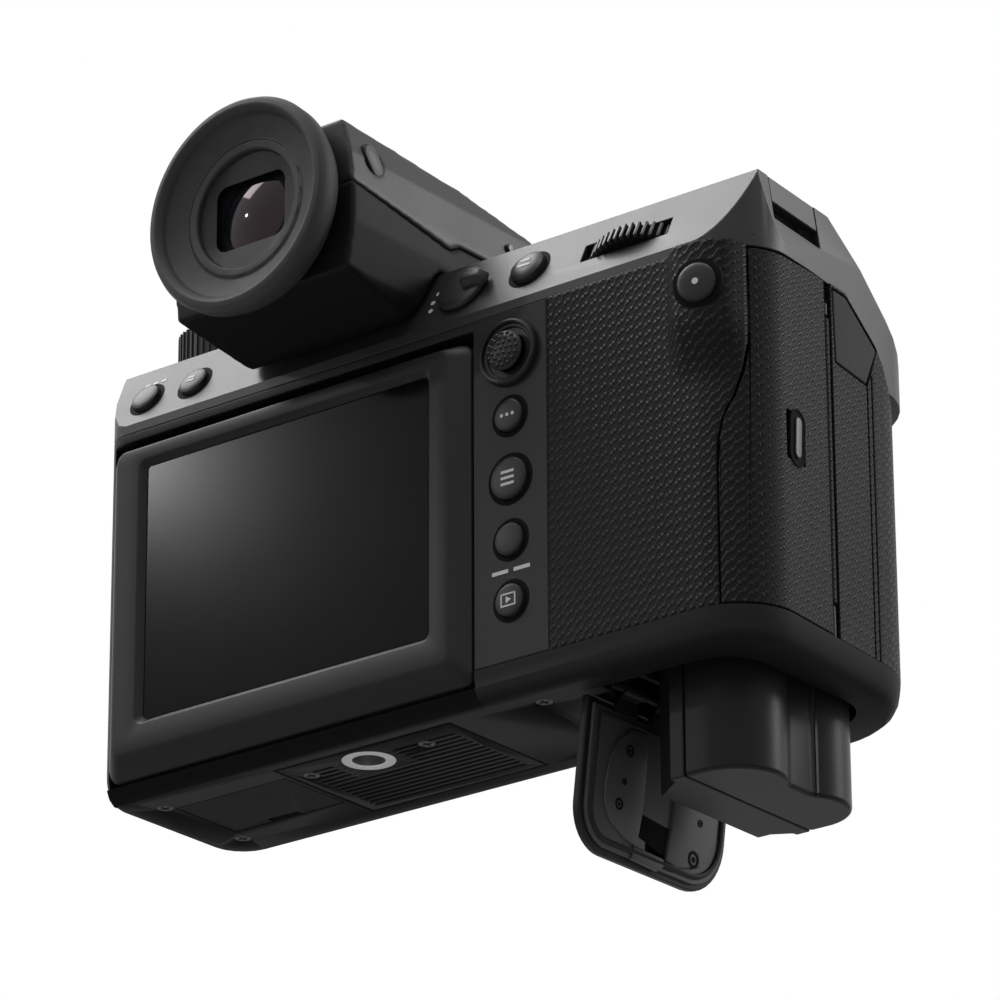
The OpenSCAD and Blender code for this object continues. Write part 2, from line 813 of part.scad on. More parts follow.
module monitor_lower_frame() {
  color("#2a2b2d") difference() {
    union() {
      difference() {
        box([house_x0 + 2, frame_y0, floor_t + 2.4], [house_x1 - 2.5, frame_y1, house_z1 - 2.2]);
        box([house_x0 + 12, frame_y0 - 1, 16], [house_x1 - 12, frame_y1 + 1, house_z1 - 14]);
      }
      for (x = [-30.7, 6.9]) {
        box([x, low_axis[0], low_axis[1] - 1], [x + 3.8, frame_y1, low_axis[1] + 1]);
        rod_x(x, x + 3.8, low_axis[0], low_axis[1], 1);
      }
      for (x = [-38, 17]) {
        box([x, top_axis[0], top_axis[1] - hinge_r], [x + 3, frame_y1, top_axis[1] + hinge_r]);
        rod_x(x, x + 3, top_axis[0], top_axis[1], hinge_r);
      }
    }
    for (x = [-30.7, 6.9]) rod_x(x - 1, x + 5, low_axis[0], low_axis[1], pin_r + fit);
  }
  color("#2a2b2d") for (x = [-35 - eps, 14.4]) rod_x(x, x + 2.6 + eps, top_axis[0], top_axis[1], pin_r);
}

module monitor_tilt_plate() {
  color("#303134") difference() {
    union() {
      box([house_x0 + 3, plate_y0, floor_t + 4.4], [house_x1 - 5.4, plate_y1, house_z1 - 3.4]);
      for (x = [-34.7, 13.2]) {
        box([x, top_axis[0], top_axis[1] - hinge_r], [x + 3.5, plate_y1, top_axis[1] + hinge_r]);
        box([x, plate_y0, house_z1 - 4], [x + 3.5, plate_y1, top_axis[1] + hinge_r]);
        rod_x(x, x + 3.5, top_axis[0], top_axis[1], hinge_r);
      }
      for (z = [14, 52]) {
        box([house_x1 - 6, side_axis[1], z], [side_axis[0], plate_y1, z + 3]);
        rod_z(side_axis[0], side_axis[1], z, z + 3, 1);
        rod_z(side_axis[0], side_axis[1], z + 3 - eps, z + 6, pin_r);
      }
    }
    for (x = [-34.7, 13.2]) rod_x(x - 1, x + 5, top_axis[0], top_axis[1], pin_r + fit);
  }
}

// Four upright rods at the corners of a rectangle, whose hull is a plate with round corners
module round_corners(x0, x1, z0, z1, y0, y1, r) {
  for (x = [x0 + r, x1 - r], z = [z0 + r, z1 - r]) rod_y(x, y0, y1, z, r, $fn = 24);
}

module monitor_housing() {
  lip = 1.2;
  color("#161617") difference() {
    hull() {
      round_corners(face_x0, face_x1, face_z0, face_z1, house_y0, house_y0 + 0.1, 2);
      round_corners(house_x0, house_x1, house_z0, house_z1, bevel_y, house_y1, 3);
    }
    hull() {
      box([screen_x0 - lip, house_y0 - 0.2, screen_z0 - lip], [screen_x1 + lip, house_y0, screen_z1 + lip]);
      box([screen_x0, house_y0 + glass_sink, screen_z0], [screen_x1, house_y0 + glass_sink + 0.1, screen_z1]);
    }
    box([screen_x0, house_y0 + 1, screen_z0], [screen_x1, house_y0 + glass_sink + 1.2, screen_z1]);
    for (x = [-34.4, 6.5]) box([x, low_axis[0] - 1.5, 0], [x + 7.9, 40, low_axis[1] + 1.6]);
    for (x = [-38.4, 12.8]) box([x, top_axis[0] - 1.3, top_axis[1] - 1.5], [x + 7.6, 40, 90]);
    for (z = [14, 52]) {
      box([house_x1 - 7, side_axis[1] - 1.4, z - 0.4], [house_x1 + 5, 40, z + 3.4]);
      rod_z(side_axis[0], side_axis[1], z, z + 6.6, pin_r + fit);
    }
  }
}

module monitor_glass() {
  color("#3c3d42") box([screen_x0, house_y0 + glass_sink, screen_z0], [screen_x1, house_y0 + glass_sink + 1.2, screen_z1]);
}

// Dials and buttons

module ribbed_wheel(r, h, ribs, depth) {
  difference() {
    cylinder(r = r, h = h, center = true);
    for (k = [0:ribs - 1]) rotate([0, 0, k * 360 / ribs])
      translate([r - depth, -0.45, -h]) cube([2 * depth, 0.9, 2 * h]);
  }
}

module rear_dial() {
  color("#151516") on_facet(dial_c[0], dial_c[1]) translate([0, 0, -rear_dial_sink]) rotate([-90, 0, 0]) {
    ribbed_wheel(rear_dial_r, 3.6, 36, 0.6);
    cylinder(r = 1.5, h = 8);
  }
}

module front_dial() {
  color("#151516") translate([front_dial_c[0], front_dial_c[1], front_dial_z]) {
    ribbed_wheel(front_dial_r, 3.2, 30, 0.6);
    translate([0, 0, split_nose + wall - front_dial_z]) cylinder(r = 1.4, h = front_dial_z - split_nose - wall);
  }
}

module mode_dial() {
  color("#1d1d1f") difference() {
    union() {
      translate([mode_c[0], mode_c[1], z_top + 4.3]) ribbed_wheel(mode_r, 8, 40, 0.4);
      rod_z(mode_c[0], mode_c[1], z_top - 4, z_top + 1, 3);
    }
    rod_z(mode_c[0], mode_c[1], z_top + 4, z_top + 20, 3.2);
  }
}

module mode_lock() {
  color("#2b2b2d") {
    rod_z(mode_c[0], mode_c[1], z_top + 4.9, z_top + 9, 3.05);
  }
}

module focus_lever() {
  color("#202022") on_facet(lever_c[0], lever_c[1]) {
    translate([0, 0, -3.4]) cylinder(r = 2, h = 3.8);
    translate([0, 0, 0.3]) cylinder(r = 4.6, h = 1);
    translate([-5.6, -1.1, 1.2]) cube([11.2, 2.2, 1.7]);
  }
}

module stick_gimbal() {
  color("#9c9ea1") on_panel(panel_x, stick_z) translate([0, 0, -panel_t - 2.6]) difference() {
    cylinder(r = 2.8, h = 1.6);
    translate([0, 0, -1]) cylinder(r = 1.6, h = 4);
  }
}

module focus_stick() {
  color("#222224") on_panel(panel_x, stick_z) {
    translate([0, 0, -panel_t - 2.6]) cylinder(r = 1.2, h = panel_t + 4);
    translate([0, 0, 0.4]) cylinder(r1 = 1.9, r2 = 2.9, h = 1);
    translate([0, 0, 1.4]) cylinder(r = 2.9, h = 1.3);
  }
}

module exposure_button() {
  color("#242426") on_panel(panel_x, 52) push_button(button_r, 0.9, panel_t);
}

module menu_button() {
  color("#242426") on_panel(panel_x, 39.9) push_button(menu_r, 0.9, panel_t);
}

module display_button() {
  color("#242426") on_panel(panel_x, 28.3) push_button(button_r, 0.9, panel_t);
}

module playback_button() {
  color("#242426") on_panel(panel_x, 16.8) push_button(button_r, 0.9, panel_t);
}

module focus_on_button() {
  color("#242426") on_facet(focus_on_c[0], focus_on_c[1]) push_button(3.6, 1.2, wall);
}

module quick_button() {
  color("#242426") on_thumb() push_button(button_r + 0.6, 3.2, core + 1.6);
}

module drive_button() {
  color("#242426") on_facet(drive_c[0], drive_c[1]) push_button(button_r, 1, wall);
}

module picture_button() {
  color("#242426") on_facet(picture_c[0], picture_c[1]) push_button(button_r, 1, wall);
}

module shutter_button() {
  color("#3a3b3d") on_deck(shutter_uv[0], shutter_uv[1]) {
    translate([0, 0, 2.6]) cylinder(r = shutter_r, h = 1.8);
    translate([0, 0, -3]) cylinder(r = 2, h = 5.7);
  }
}

module power_switch() {
  color("#232325") on_deck(shutter_uv[0], shutter_uv[1]) difference() {
    union() {
      translate([0, 0, 0.3]) cylinder(r = 9, h = 3);
      translate([0, 0, -2]) cylinder(r = 6.4, h = 2.4);
      translate([6, -1.6, 0.3]) cube([6.4, 3.2, 2.6]);
    }
    translate([0, 0, 0.5]) cylinder(r = shutter_r + gap, h = 6);
    translate([0, 0, -6]) cylinder(r = 2 + fit, h = 12);
  }
}

// Doors and covers

module card_door() {
  color("#19191b") difference() {
    union() {
      intersection() {
        difference() {
          slab(0, rim_height + gap, z_top);
          slab(wall, 0, big);
        }
        below_split(0.4);
        prism_y(card_edge(0), -40, card_seam);
      }
      rod_z(card_pin[0], card_pin[1], 12, 66, 1);
      box([card_pin[0] - 0.9, card_seam - 0.5, 12], [card_pin[0] + 0.45, card_pin[1], 66]);
    }
    box([88, -0.9, 34.4], [big, 4.9, 43.4]);
  }
  color("#b9babc") rod_z(card_pin[0], card_pin[1], 10, 68, pin_r);
}

module card_latch() {
  color("#27282a") intersection() {
    difference() {
      slab(0.6, 0, big);
      slab(wall + 0.6, -1, big + 1);
    }
    box([88, 1.2, 34.8], [big, 3.4, 43]);
  }
}

module remote_cover() {
  color("#1a1a1c") intersection() {
    difference() {
      slab(0, 40, z_top);
      slab(skin, 0, big);
    }
    prism_x(remote_outline(0), 80, big);
  }
}

module port_door() {
  color("#1a1a1c") difference() {
    union() {
      box([x_left - 1.2, -5, 12], [x_left, 15.5, 64]);
      box([x_left - 2.4, -4, 23], [x_left - 1, 13.6, 46]);
    }
    box([x_left - 3, -6, 37.2], [x_left - 0.8, 16, 37.8]);
  }
}

module contact_lid() {
  color("#232325") difference() {
    translate([-44, -2, 0.05]) cube([26, 16.7, 1.35]);
    translate([-35, 13.2, -1]) cube([7, 4, 1.8]);
  }
}

// Finder

function finder_side(i) = [
  [finder_y0 + i, z_top - 7 + i], [y_rear - 1.6, z_top - 10.3 + i],
  [facet_y(z_top - 10.3) - 0.8 - i, z_top - 10.3 + i], [facet_y(z_top) - 0.5 - i, z_top + 0.4 + i],
  [finder_y1 - i, z_top + 0.4 + i], [finder_y1 - 2 - i, finder_top - 6 - i],
  [3 - i, finder_top - 2.6 - i], [finder_y0 + i, finder_top - i]];

function finder_round(i) = [
  [-18.5 + i, z_top - 11], [-20.2 + i, z_top - 7], [-finder_half + i, z_top + 2],
  [-finder_half + i, z_top + 8], [-20.7 + i, z_top + 16], [-18.3 + i, finder_top + 1],
  [18.3 - i, finder_top + 1], [20.7 - i, z_top + 16], [finder_half - i, z_top + 8],
  [finder_half - i, z_top + 2], [20.2 - i, z_top - 7], [18.5 - i, z_top - 11]];

seam_line = [[-60, z_top + 14], [y_rear + 9.2, z_top + 5.7], [y_rear + 12, z_top + 7.2],
  [19, z_top + 7.4], [60, z_top + 7.4]];

module finder_solid(i) {
  intersection() {
    prism_x(finder_side(i), -40, 40);
    prism_y(finder_round(i), -60, 60);
  }
}

module finder_bores() {
  rod_y(0, -60, finder_y0 + wall + 0.2, eye_z, tube_r);
}

module finder_shell() {
  color("#1c1c1e") difference() {
    finder_solid(0);
    finder_solid(wall);
    prism_x(concat([[60, -60], [-60, -60]], seam_line), -60, 60);
    finder_bores();
    rod_x(15, 30, y_rear - 12, z_top + 16.2, 2.4 + gap / 2);
  }
}

module finder_base() {
  color("#1c1c1e") difference() {
    intersection() {
      difference() {
        finder_solid(0);
        finder_solid(wall);
      }
      prism_x(concat([[60, -60], [-60, -60]], seam_line), -60, 60);
    }
    finder_bores();
    box([-9.3 - gap, -2 - gap, z_top - 5], [9.3 + gap, 60, z_top + 1.8 + gap]);
    rod_x(-30, -15, diopter_yz[0], diopter_yz[1], diopter_r + fit);
  }
}

module eyecup() {
  color("#141415") translate([0, cup_y0, eye_z]) rotate([-90, 0, 0]) rotate_extrude() polygon([
    [11.5, 3.4], [13.2, 3.2], [13.5, 3.6], [17.6, 2.1], [18.1, 0.8], [19, 0], [eyecup_r - 0.6, 0.3],
    [eyecup_r, 1.6], [eyecup_r - 0.2, 4], [eyecup_r - 1.6, 6.8], [15.4, 7.2], [14.6, 8.3], [11.5, 8.3]]);
}

module eyepiece_lens() {
  color("#5a6a6f") rod_y(0, finder_y0 - 2, finder_y0 + 3, eye_z, tube_r - 1);
  color("#1a1a1b") difference() {
    rod_y(0, finder_y0 - 1, tube_y1, eye_z, tube_r);
    rod_y(0, finder_y0 - 2, finder_y0 + 3, eye_z, tube_r - 1);
    rod_y(0, finder_y0, tube_y1 + 1, eye_z, tube_r - 2);
  }
}

module finder_panel() {
  half = tube_r - 0.5;
  color("#123027") box([-half, tube_y1, eye_z - half], [half, tube_y1 + 1.6, eye_z + half]);
}

module view_button() {
  x1 = 20;
  color("#242426") {
    rod_x(x1 - 3.4, x1 + 0.4, y_rear - 12, z_top + 16.2, 2.4);
    rod_x(x1 - 4.2, x1 - 3.4, y_rear - 12, z_top + 16.2, 3);
  }
}

module diopter_dial() {
  color("#242426") {
    rod_x(-finder_half - 1.4, -finder_half + wall + 0.3, diopter_yz[0], diopter_yz[1], diopter_r);
    rod_x(-finder_half + wall + 0.3, -finder_half + wall + 1, diopter_yz[0], diopter_yz[1], diopter_r + 0.6);
  }
}

module hot_shoe() {
  tilt = atan2(3.4, finder_y1 - 5);
  color("#a3a5a8") translate([0, 3, finder_top - 2.6]) rotate([-tilt, 0, 0]) difference() {
    translate([-10.6, 1, 0]) cube([21.2, 17.5, 3.4]);
    translate([-9.35, -1, 0.8]) cube([18.7, 18.6, 1.7]);
    translate([-6.4, -1, 1]) cube([12.8, 17.2, 5]);
  }
}

// Sensor and front controls

module sensor_carriage() {
  color("#6d7074") difference() {
    box([-34, recess_floor + 3, 14], [34, recess_floor + 4.6, 71.5]);
    box([-24, recess_floor, 22], [24, 10, 64]);
  }
}

module image_sensor() {
  color("#6d7074") box([-31, recess_floor + 5, 18], [31, recess_floor + 6.2, 68]);
  color("#2f5a54") box([-26.7, recess_floor + 6.2, lens_z - 20], [26.7, recess_floor + 7.6, lens_z + 20]);
}

module lens_release() {
  color("#c4c6c9") on_front(release_at[0], release_at[1]) push_button(4, 1.6, core);
}

front_shell();
rear_cover();
top_cover();
base_plate();
grip_skin_rear();
grip_skin_front();
chassis();
lens_mount();
tripod_bush();
battery_box();
main_board();
shutter_unit();
card_reader();
strap_lugs();
finder_shoe();
top_display();
stick_collar();
screws();
battery_door();
door_liner();
door_latch();
battery_shell();
battery_back();
monitor_lower_frame();
monitor_tilt_plate();
monitor_housing();
monitor_glass();
rear_dial();
front_dial();
mode_dial();
mode_lock();
focus_lever();
stick_gimbal();
focus_stick();
exposure_button();
menu_button();
display_button();
playback_button();
focus_on_button();
quick_button();
drive_button();
picture_button();
shutter_button();
power_switch();
card_door();
card_latch();
remote_cover();
port_door();
contact_lid();
finder_shell();
finder_base();
eyecup();
eyepiece_lens();
finder_panel();
view_button();
diopter_dial();
hot_shoe();
sensor_carriage();
image_sensor();
lens_release();
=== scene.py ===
# %% [markdown]
# A medium format digital camera, dressed for its portrait.
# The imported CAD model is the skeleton: it fixes every size and every joint.
# This lesson rounds its edges, gives each surface a finish, and adds the small
# pieces that a solid model leaves out. Shapes are drawn in millimetres of the CAD
# frame, and MM turns them into Blender's metres.

# %% Load the frame
import json
import math

import bmesh
import bpy
from mathutils import Matrix, Vector


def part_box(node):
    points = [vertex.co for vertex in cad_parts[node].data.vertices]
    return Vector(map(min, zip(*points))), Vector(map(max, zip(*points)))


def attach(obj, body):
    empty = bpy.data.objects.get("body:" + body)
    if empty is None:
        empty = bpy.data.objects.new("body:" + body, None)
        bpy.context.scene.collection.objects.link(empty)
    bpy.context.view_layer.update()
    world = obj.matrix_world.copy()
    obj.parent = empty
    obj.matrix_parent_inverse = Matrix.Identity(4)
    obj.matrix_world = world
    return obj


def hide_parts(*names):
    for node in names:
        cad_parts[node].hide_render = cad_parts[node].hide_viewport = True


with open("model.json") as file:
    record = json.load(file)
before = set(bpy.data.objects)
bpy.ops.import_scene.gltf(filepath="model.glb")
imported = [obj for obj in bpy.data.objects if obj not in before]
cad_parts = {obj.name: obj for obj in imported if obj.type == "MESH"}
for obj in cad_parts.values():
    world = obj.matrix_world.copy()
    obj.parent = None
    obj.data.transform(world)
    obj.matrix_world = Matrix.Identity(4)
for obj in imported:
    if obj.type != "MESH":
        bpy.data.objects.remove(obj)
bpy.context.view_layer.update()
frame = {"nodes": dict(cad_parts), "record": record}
MM = 0.001

# %% [markdown]
# The photograph is taken from behind, from the right and from below, with a long lens.
# The camera's place and turn were solved from straight edges of the body, so they are
# set as numbers. A long lens keeps parallel edges nearly parallel.

# %% Camera
CAMERA_AT = Vector((603.2, -733.5, -338.5))
SENSOR_WIDTH = 36
FOCAL_LENGTH = 201.6
view_right = Vector((0.7868, 0.6172, -0.0050))
view_down = Vector((-0.2377, 0.2955, -0.9253))
view_forward = view_right.cross(view_down).normalized()
view_down = view_forward.cross(view_right).normalized()
lens = bpy.data.cameras.new("portrait_lens")
lens.sensor_width = SENSOR_WIDTH
lens.lens = FOCAL_LENGTH
lens.clip_end = 20
portrait = bpy.data.objects.new("portrait_camera", lens)
bpy.context.scene.collection.objects.link(portrait)
camera_turn = Matrix((view_right, -view_down, -view_forward)).transposed().to_4x4()
portrait.matrix_world = Matrix.Translation(CAMERA_AT * MM) @ camera_turn
bpy.context.scene.camera = portrait
print("camera at", [round(v, 3) for v in portrait.location])

# %% [markdown]
# Shader maths is easier to read as an expression than as a row of boxes.
# This small class wraps one node socket, and each operator adds the Math node for it.

# %% Socket arithmetic
class Wire:
    """A socket of a node tree that can be added, multiplied and compared like a number."""

    def __init__(self, tree, socket):
        self.tree = tree
        self.socket = socket

    def node(self, kind, settings=None, **sockets):
        """Adds a node, with its settings and the values of its named sockets."""
        made = self.tree.nodes.new(kind)
        for name, value in (settings or {}).items():
            setattr(made, name, value)
        for name, value in sockets.items():
            plug(self.tree, made.inputs[name], value)
        return made

    def math(self, operation, other=None):
        """Adds one Math node that works on this socket, and on another value if it needs one."""
        made = self.tree.nodes.new("ShaderNodeMath")
        made.operation = operation
        plug(self.tree, made.inputs[0], self)
        if other is not None:
            plug(self.tree, made.inputs[1], other)
        return Wire(self.tree, made.outputs[0])

    def __add__(self, other):
        return self.math("ADD", other)

    __radd__ = __add__

    def __mul__(self, other):
        return self.math("MULTIPLY", other)

    def __sub__(self, other):
        return self.math("SUBTRACT", other)

    def __rsub__(self, other):
        return (self * -1) + other

    def __truediv__(self, other):
        return self.math("DIVIDE", other)

    def fract(self):
        return self.math("FRACT")

    def larger(self, other):
        return self.math("MAXIMUM", other)

    def step(self, low, high):
        """0 below low, 1 above high, with a soft ramp between."""
        made = self.tree.nodes.new("ShaderNodeMapRange")
        made.interpolation_type = "SMOOTHSTEP"
        plug(self.tree, made.inputs["Value"], self)
        made.inputs["From Min"].default_value = low
        made.inputs["From Max"].default_value = high
        return Wire(self.tree, made.outputs[0])


def plug(tree, socket, value):
    """Links a Wire into a socket, or sets a plain value on it."""
    if isinstance(value, Wire):
        tree.links.new(value.socket, socket)
    else:
        socket.default_value = value


print("socket arithmetic ready")

# %% [markdown]
# A finish is one material. It reads the piece's own coordinates, so a grain stays with
# its piece when a joint moves, and it has short ways to vary colour, gloss and height.

# %% Material helper
class Finish:
    """One material: its tree, its Principled shader and short ways to feed them."""

    def __init__(self, name, colour, roughness, metallic=0.0, specular=0.3):
        self.material = bpy.data.materials.new(name)
        self.material.use_nodes = True
        self.tree = self.material.node_tree
        self.shader = self.tree.nodes["Principled BSDF"]
        self.shader.inputs["Base Color"].default_value = (*colour, 1)
        self.shader.inputs["Roughness"].default_value = roughness
        self.shader.inputs["Metallic"].default_value = metallic
        self.shader.inputs["Specular IOR Level"].default_value = specular
        self.colour = colour
        self.place = Wire(self.tree, self.tree.nodes.new("ShaderNodeTexCoord").outputs["Object"])

    def height(self):
        """The height above the base plane, in millimetres."""
        split = self.place.node("ShaderNodeSeparateXYZ", Vector=self.place)
        return Wire(self.tree, split.outputs["Z"]) * 1000

    def uv(self):
        """The piece's own UV map, written in millimetres."""
        made = self.place.node("ShaderNodeUVMap", {"uv_map": "surface"})
        split = self.place.node("ShaderNodeSeparateXYZ", Vector=Wire(self.tree, made.outputs[0]))
        return Wire(self.tree, split.outputs["X"]), Wire(self.tree, split.outputs["Y"])

    def noise(self, scale, detail):
        made = self.place.node("ShaderNodeTexNoise", Vector=self.place, Scale=scale, Detail=detail)
        return Wire(self.tree, made.outputs[0])

    def cells(self, scale):
        made = self.place.node("ShaderNodeTexVoronoi", Vector=self.place, Scale=scale)
        return Wire(self.tree, made.outputs["Distance"])

    def paint(self, mask, other):
        """Base colour that goes from this finish's own colour to another where mask is 1."""
        made = self.place.node("ShaderNodeMix", {"data_type": "RGBA"})
        factor, own, changed = made.inputs[0], made.inputs[6], made.inputs[7]
        plug(self.tree, factor, mask)
        own.default_value = (*self.colour, 1)
        changed.default_value = (*other, 1)
        self.tree.links.new(made.outputs[2], self.shader.inputs["Base Color"])

    def rough(self, value):
        plug(self.tree, self.shader.inputs["Roughness"], value)

    def bump(self, height, distance):
        """Bumps in metres; several calls stack, the last one on top."""
        made = self.place.node("ShaderNodeBump", Height=height, Distance=distance, Strength=1.0)
        normal = self.shader.inputs["Normal"]
        if normal.links:
            self.tree.links.new(normal.links[0].from_socket, made.inputs["Normal"])
        self.tree.links.new(made.outputs[0], normal)


print("finish helpers ready")

# %% [markdown]
# The studio: a pale floor well below the camera's view, a white surround, and soft lamps.
# The surround is white to the eye and in reflections, and dimmer as a lamp, so a black
# body keeps its depth. A big lamp behind and above gives the sloping facet its glow, and
# a small far lamp leaves a soft light patch in the screen's top left corner.

# %% Surround and floor
FILL_LIGHT = 0.2
FLOOR_DROP = 0.55
FLOOR_HALF = 4
world = bpy.data.worlds.new("studio")
bpy.context.scene.world = world
world.use_nodes = True
world_tree = world.node_tree
backdrop = world_tree.nodes["Background"]
rays = world_tree.nodes.new("ShaderNodeLightPath")
seen = Wire(world_tree, rays.outputs["Is Camera Ray"])
seen = seen.larger(Wire(world_tree, rays.outputs["Is Glossy Ray"]))
seen = seen.larger(Wire(world_tree, rays.outputs["Is Transmission Ray"]))
backdrop.inputs["Color"].default_value = (1, 1, 1, 1)
plug(world_tree, backdrop.inputs["Strength"], seen * (1 - FILL_LIGHT) + FILL_LIGHT)

floor_mesh = bmesh.new()
bmesh.ops.create_grid(floor_mesh, x_segments=2, y_segments=2, size=FLOOR_HALF)
bmesh.ops.translate(floor_mesh, verts=floor_mesh.verts, vec=(0, 0, -FLOOR_DROP))
floor_data = bpy.data.meshes.new("floor")
floor_mesh.to_mesh(floor_data)
floor_mesh.free()
floor = bpy.data.objects.new("floor", floor_data)
bpy.context.scene.collection.objects.link(floor)
pale = Finish("pale_floor", (0.8, 0.8, 0.8), 0.8)
floor_data.materials.append(pale.material)
bpy.context.scene.view_settings.view_transform = "Standard"
print("floor at", -FLOOR_DROP)

# %% [markdown]
# Each lamp is a soft rectangle that looks at a point: places in metres, power in watts.

# %% Lamps
def lamp(name, place, aim, width, height, power):
    """A soft rectangular lamp that looks at a point."""
    light = bpy.data.lights.new(name, "AREA")
    light.shape = "RECTANGLE"
    light.size = width
    light.size_y = height
    light.energy = power
    made = bpy.data.objects.new(name, light)
    bpy.context.scene.collection.objects.link(made)
    made.location = place
    made.rotation_euler = (Vector(aim) - Vector(place)).to_track_quat("-Z", "Y").to_euler()


BODY_MIDDLE = (0.02, 0.0, 0.045)
SCREEN_CORNER = (-0.045, -0.014, 0.064)
lamp("facet_lamp", (-0.68, -0.22, 1.1), BODY_MIDDLE, 0.9, 0.7, 15)
lamp("top_lamp", (0.2, -0.45, 1.25), BODY_MIDDLE, 0.7, 0.5, 5)
lamp("side_lamp", (0.85, 0.9, 0.66), BODY_MIDDLE, 0.36, 0.4, 6)
lamp("screen_lamp", (-0.928, -0.965, 0.621), SCREEN_CORNER, 0.05, 0.05, 1.1)

# %% [markdown]
# Most of the body is black, and what tells one black from another is its grain: fine
# speckle on painted metal, a smoother skin on moulded plastic and a matt bloom on rubber.
# Each row gives colour, roughness, fineness and depth of the grain, and reflectance.

# %% Painted and moulded finishes
WEAR_SCALE = 40.0
RIM_PAINTED_LIGHT = (0.2, 2.0)


def grained(name, colour, roughness, grain, depth, specular):
    """Satin black with a fine grain and a slow change of gloss; gives the slow noise too."""
    made = Finish(name, colour, roughness, specular=specular)
    speckle = made.noise(grain, 3.0)
    drift = made.noise(WEAR_SCALE, 2.0)
    made.bump(speckle, depth)
    made.rough(roughness + (drift - 0.5) * 0.12 + (speckle - 0.5) * 0.1)
    return made, drift


def speckled(name, colour, roughness, grain, depth, specular):
    """A grained finish that is a little lighter where it is worn."""
    made, drift = grained(name, colour, roughness, grain, depth, specular)
    made.paint((drift - 0.3).larger(0.0) * 0.4, tuple(c * 1.35 for c in colour))
    return made


paint = speckled("satin_paint", (0.011, 0.011, 0.012), 0.42, 5200.0, 0.00003, 0.16)
top_paint = speckled("top_paint", (0.018, 0.018, 0.019), 0.4, 5200.0, 0.00003, 0.28)
moulding = speckled("moulded_plastic", (0.011, 0.011, 0.012), 0.45, 3600.0, 0.00002, 0.18)
button = speckled("button_plastic", (0.012, 0.012, 0.013), 0.36, 3000.0, 0.00001, 0.2)
coated = speckled("coated_metal", (0.016, 0.016, 0.017), 0.34, 4200.0, 0.00001, 0.3)
cell = speckled("battery_plastic", (0.009, 0.009, 0.010), 0.36, 2600.0, 0.00002, 0.14)
rubber = speckled("matt_rubber", (0.018, 0.018, 0.019), 0.6, 2200.0, 0.00002, 0.12)
# The door's plastic is painted a lighter grey than the body: painted light that lifts the door's inside out
# of the shadow it lies in.
door_plastic_painted_light = speckled("door_plastic_painted_light", (0.055, 0.055, 0.056), 0.42, 3600.0, 0.00002, 0.28)
# A near-black finish: painted shade in the gaps, rings, recesses and openings between parts, and the own
# black of the door's screws.
shadow_and_black = speckled("shadow_gap", (0.004, 0.004, 0.004), 0.7, 2200.0, 0.00001, 0.05)
mark_white = speckled("printed_mark", (0.55, 0.55, 0.55), 0.5, 2200.0, 0.00001, 0.3)
cup_rubber = speckled("cup_rubber", (0.034, 0.034, 0.035), 0.6, 2200.0, 0.00002, 0.22)
# The finder's upper half takes a lighter, glossier copy of the moulding, painted light, and its chin a
# darker copy, painted shade where it faces down.
finder_lit = speckled("finder_lit_moulding", (0.014, 0.014, 0.015), 0.42, 3600.0, 0.00002, 0.26)
finder_shaded = speckled("finder_shaded_moulding", (0.007, 0.007, 0.008), 0.5, 3600.0, 0.00002, 0.08)
# The base plate's paint is darker than the body's: painted shade on the face that looks down. Its rim is
# painted lighter by height: painted light where the rim catches the lamps.
base_paint, _ = grained("base_paint", (0.006, 0.006, 0.007), 0.55, 5200.0, 0.00003, 0.05)
base_paint.paint(base_paint.height().step(*RIM_PAINTED_LIGHT), (0.024, 0.024, 0.025))
print("satin finishes made")

# %% [markdown]
# Bare metal has fine turning lines, the board has pads in a loose pattern, and glass is
# smooth with a trace of haze. The eyepiece has the pink sheen of a lens coating.

# %% Bright finishes
def turned(name, colour, roughness):
    """Bare metal with fine turning lines."""
    made = Finish(name, colour, roughness, 1.0, 0.5)
    lines = made.noise(300.0, 1.0)
    made.rough(roughness + (lines - 0.5) * 0.08)
    made.bump(made.noise(4000.0, 1.0), 0.000003)
    return made


def hazy(name, colour, specular, scale, detail, gloss, haze):
    """Glass whose roughness drifts a little above its gloss."""
    made = Finish(name, colour, gloss, specular=specular)
    made.rough(gloss + made.noise(scale, detail) * haze)
    return made


plated = turned("plated_ring", (0.62, 0.62, 0.63), 0.28)
steel = turned("bare_steel", (0.55, 0.55, 0.56), 0.35)
alloy = turned("cast_alloy", (0.3, 0.3, 0.31), 0.5)
board = Finish("circuit_board", (0.02, 0.09, 0.05), 0.5)
board.paint(board.cells(500.0).step(0.35, 0.45), (0.25, 0.2, 0.08))
screen = hazy("screen_glass", (0.004, 0.004, 0.005), 0.05, 60.0, 2.0, 0.12, 0.02)
eye_glass = hazy("coated_lens", (0.006, 0.008, 0.010), 0.3, 50.0, 1.0, 0.04, 0.05)
eye_glass.shader.inputs["Specular Tint"].default_value = (1.0, 0.72, 0.8, 1)
sensor_glass = hazy("sensor_cover", (0.03, 0.09, 0.09), 0.6, 30.0, 2.0, 0.08, 0.05)
print("bright finishes made")

# %% [markdown]
# The covering has an embossed zigzag: short slanting ridges in columns. Each column is
# one cell of the surface map, and a ridge climbs from one side of its cell to the other.

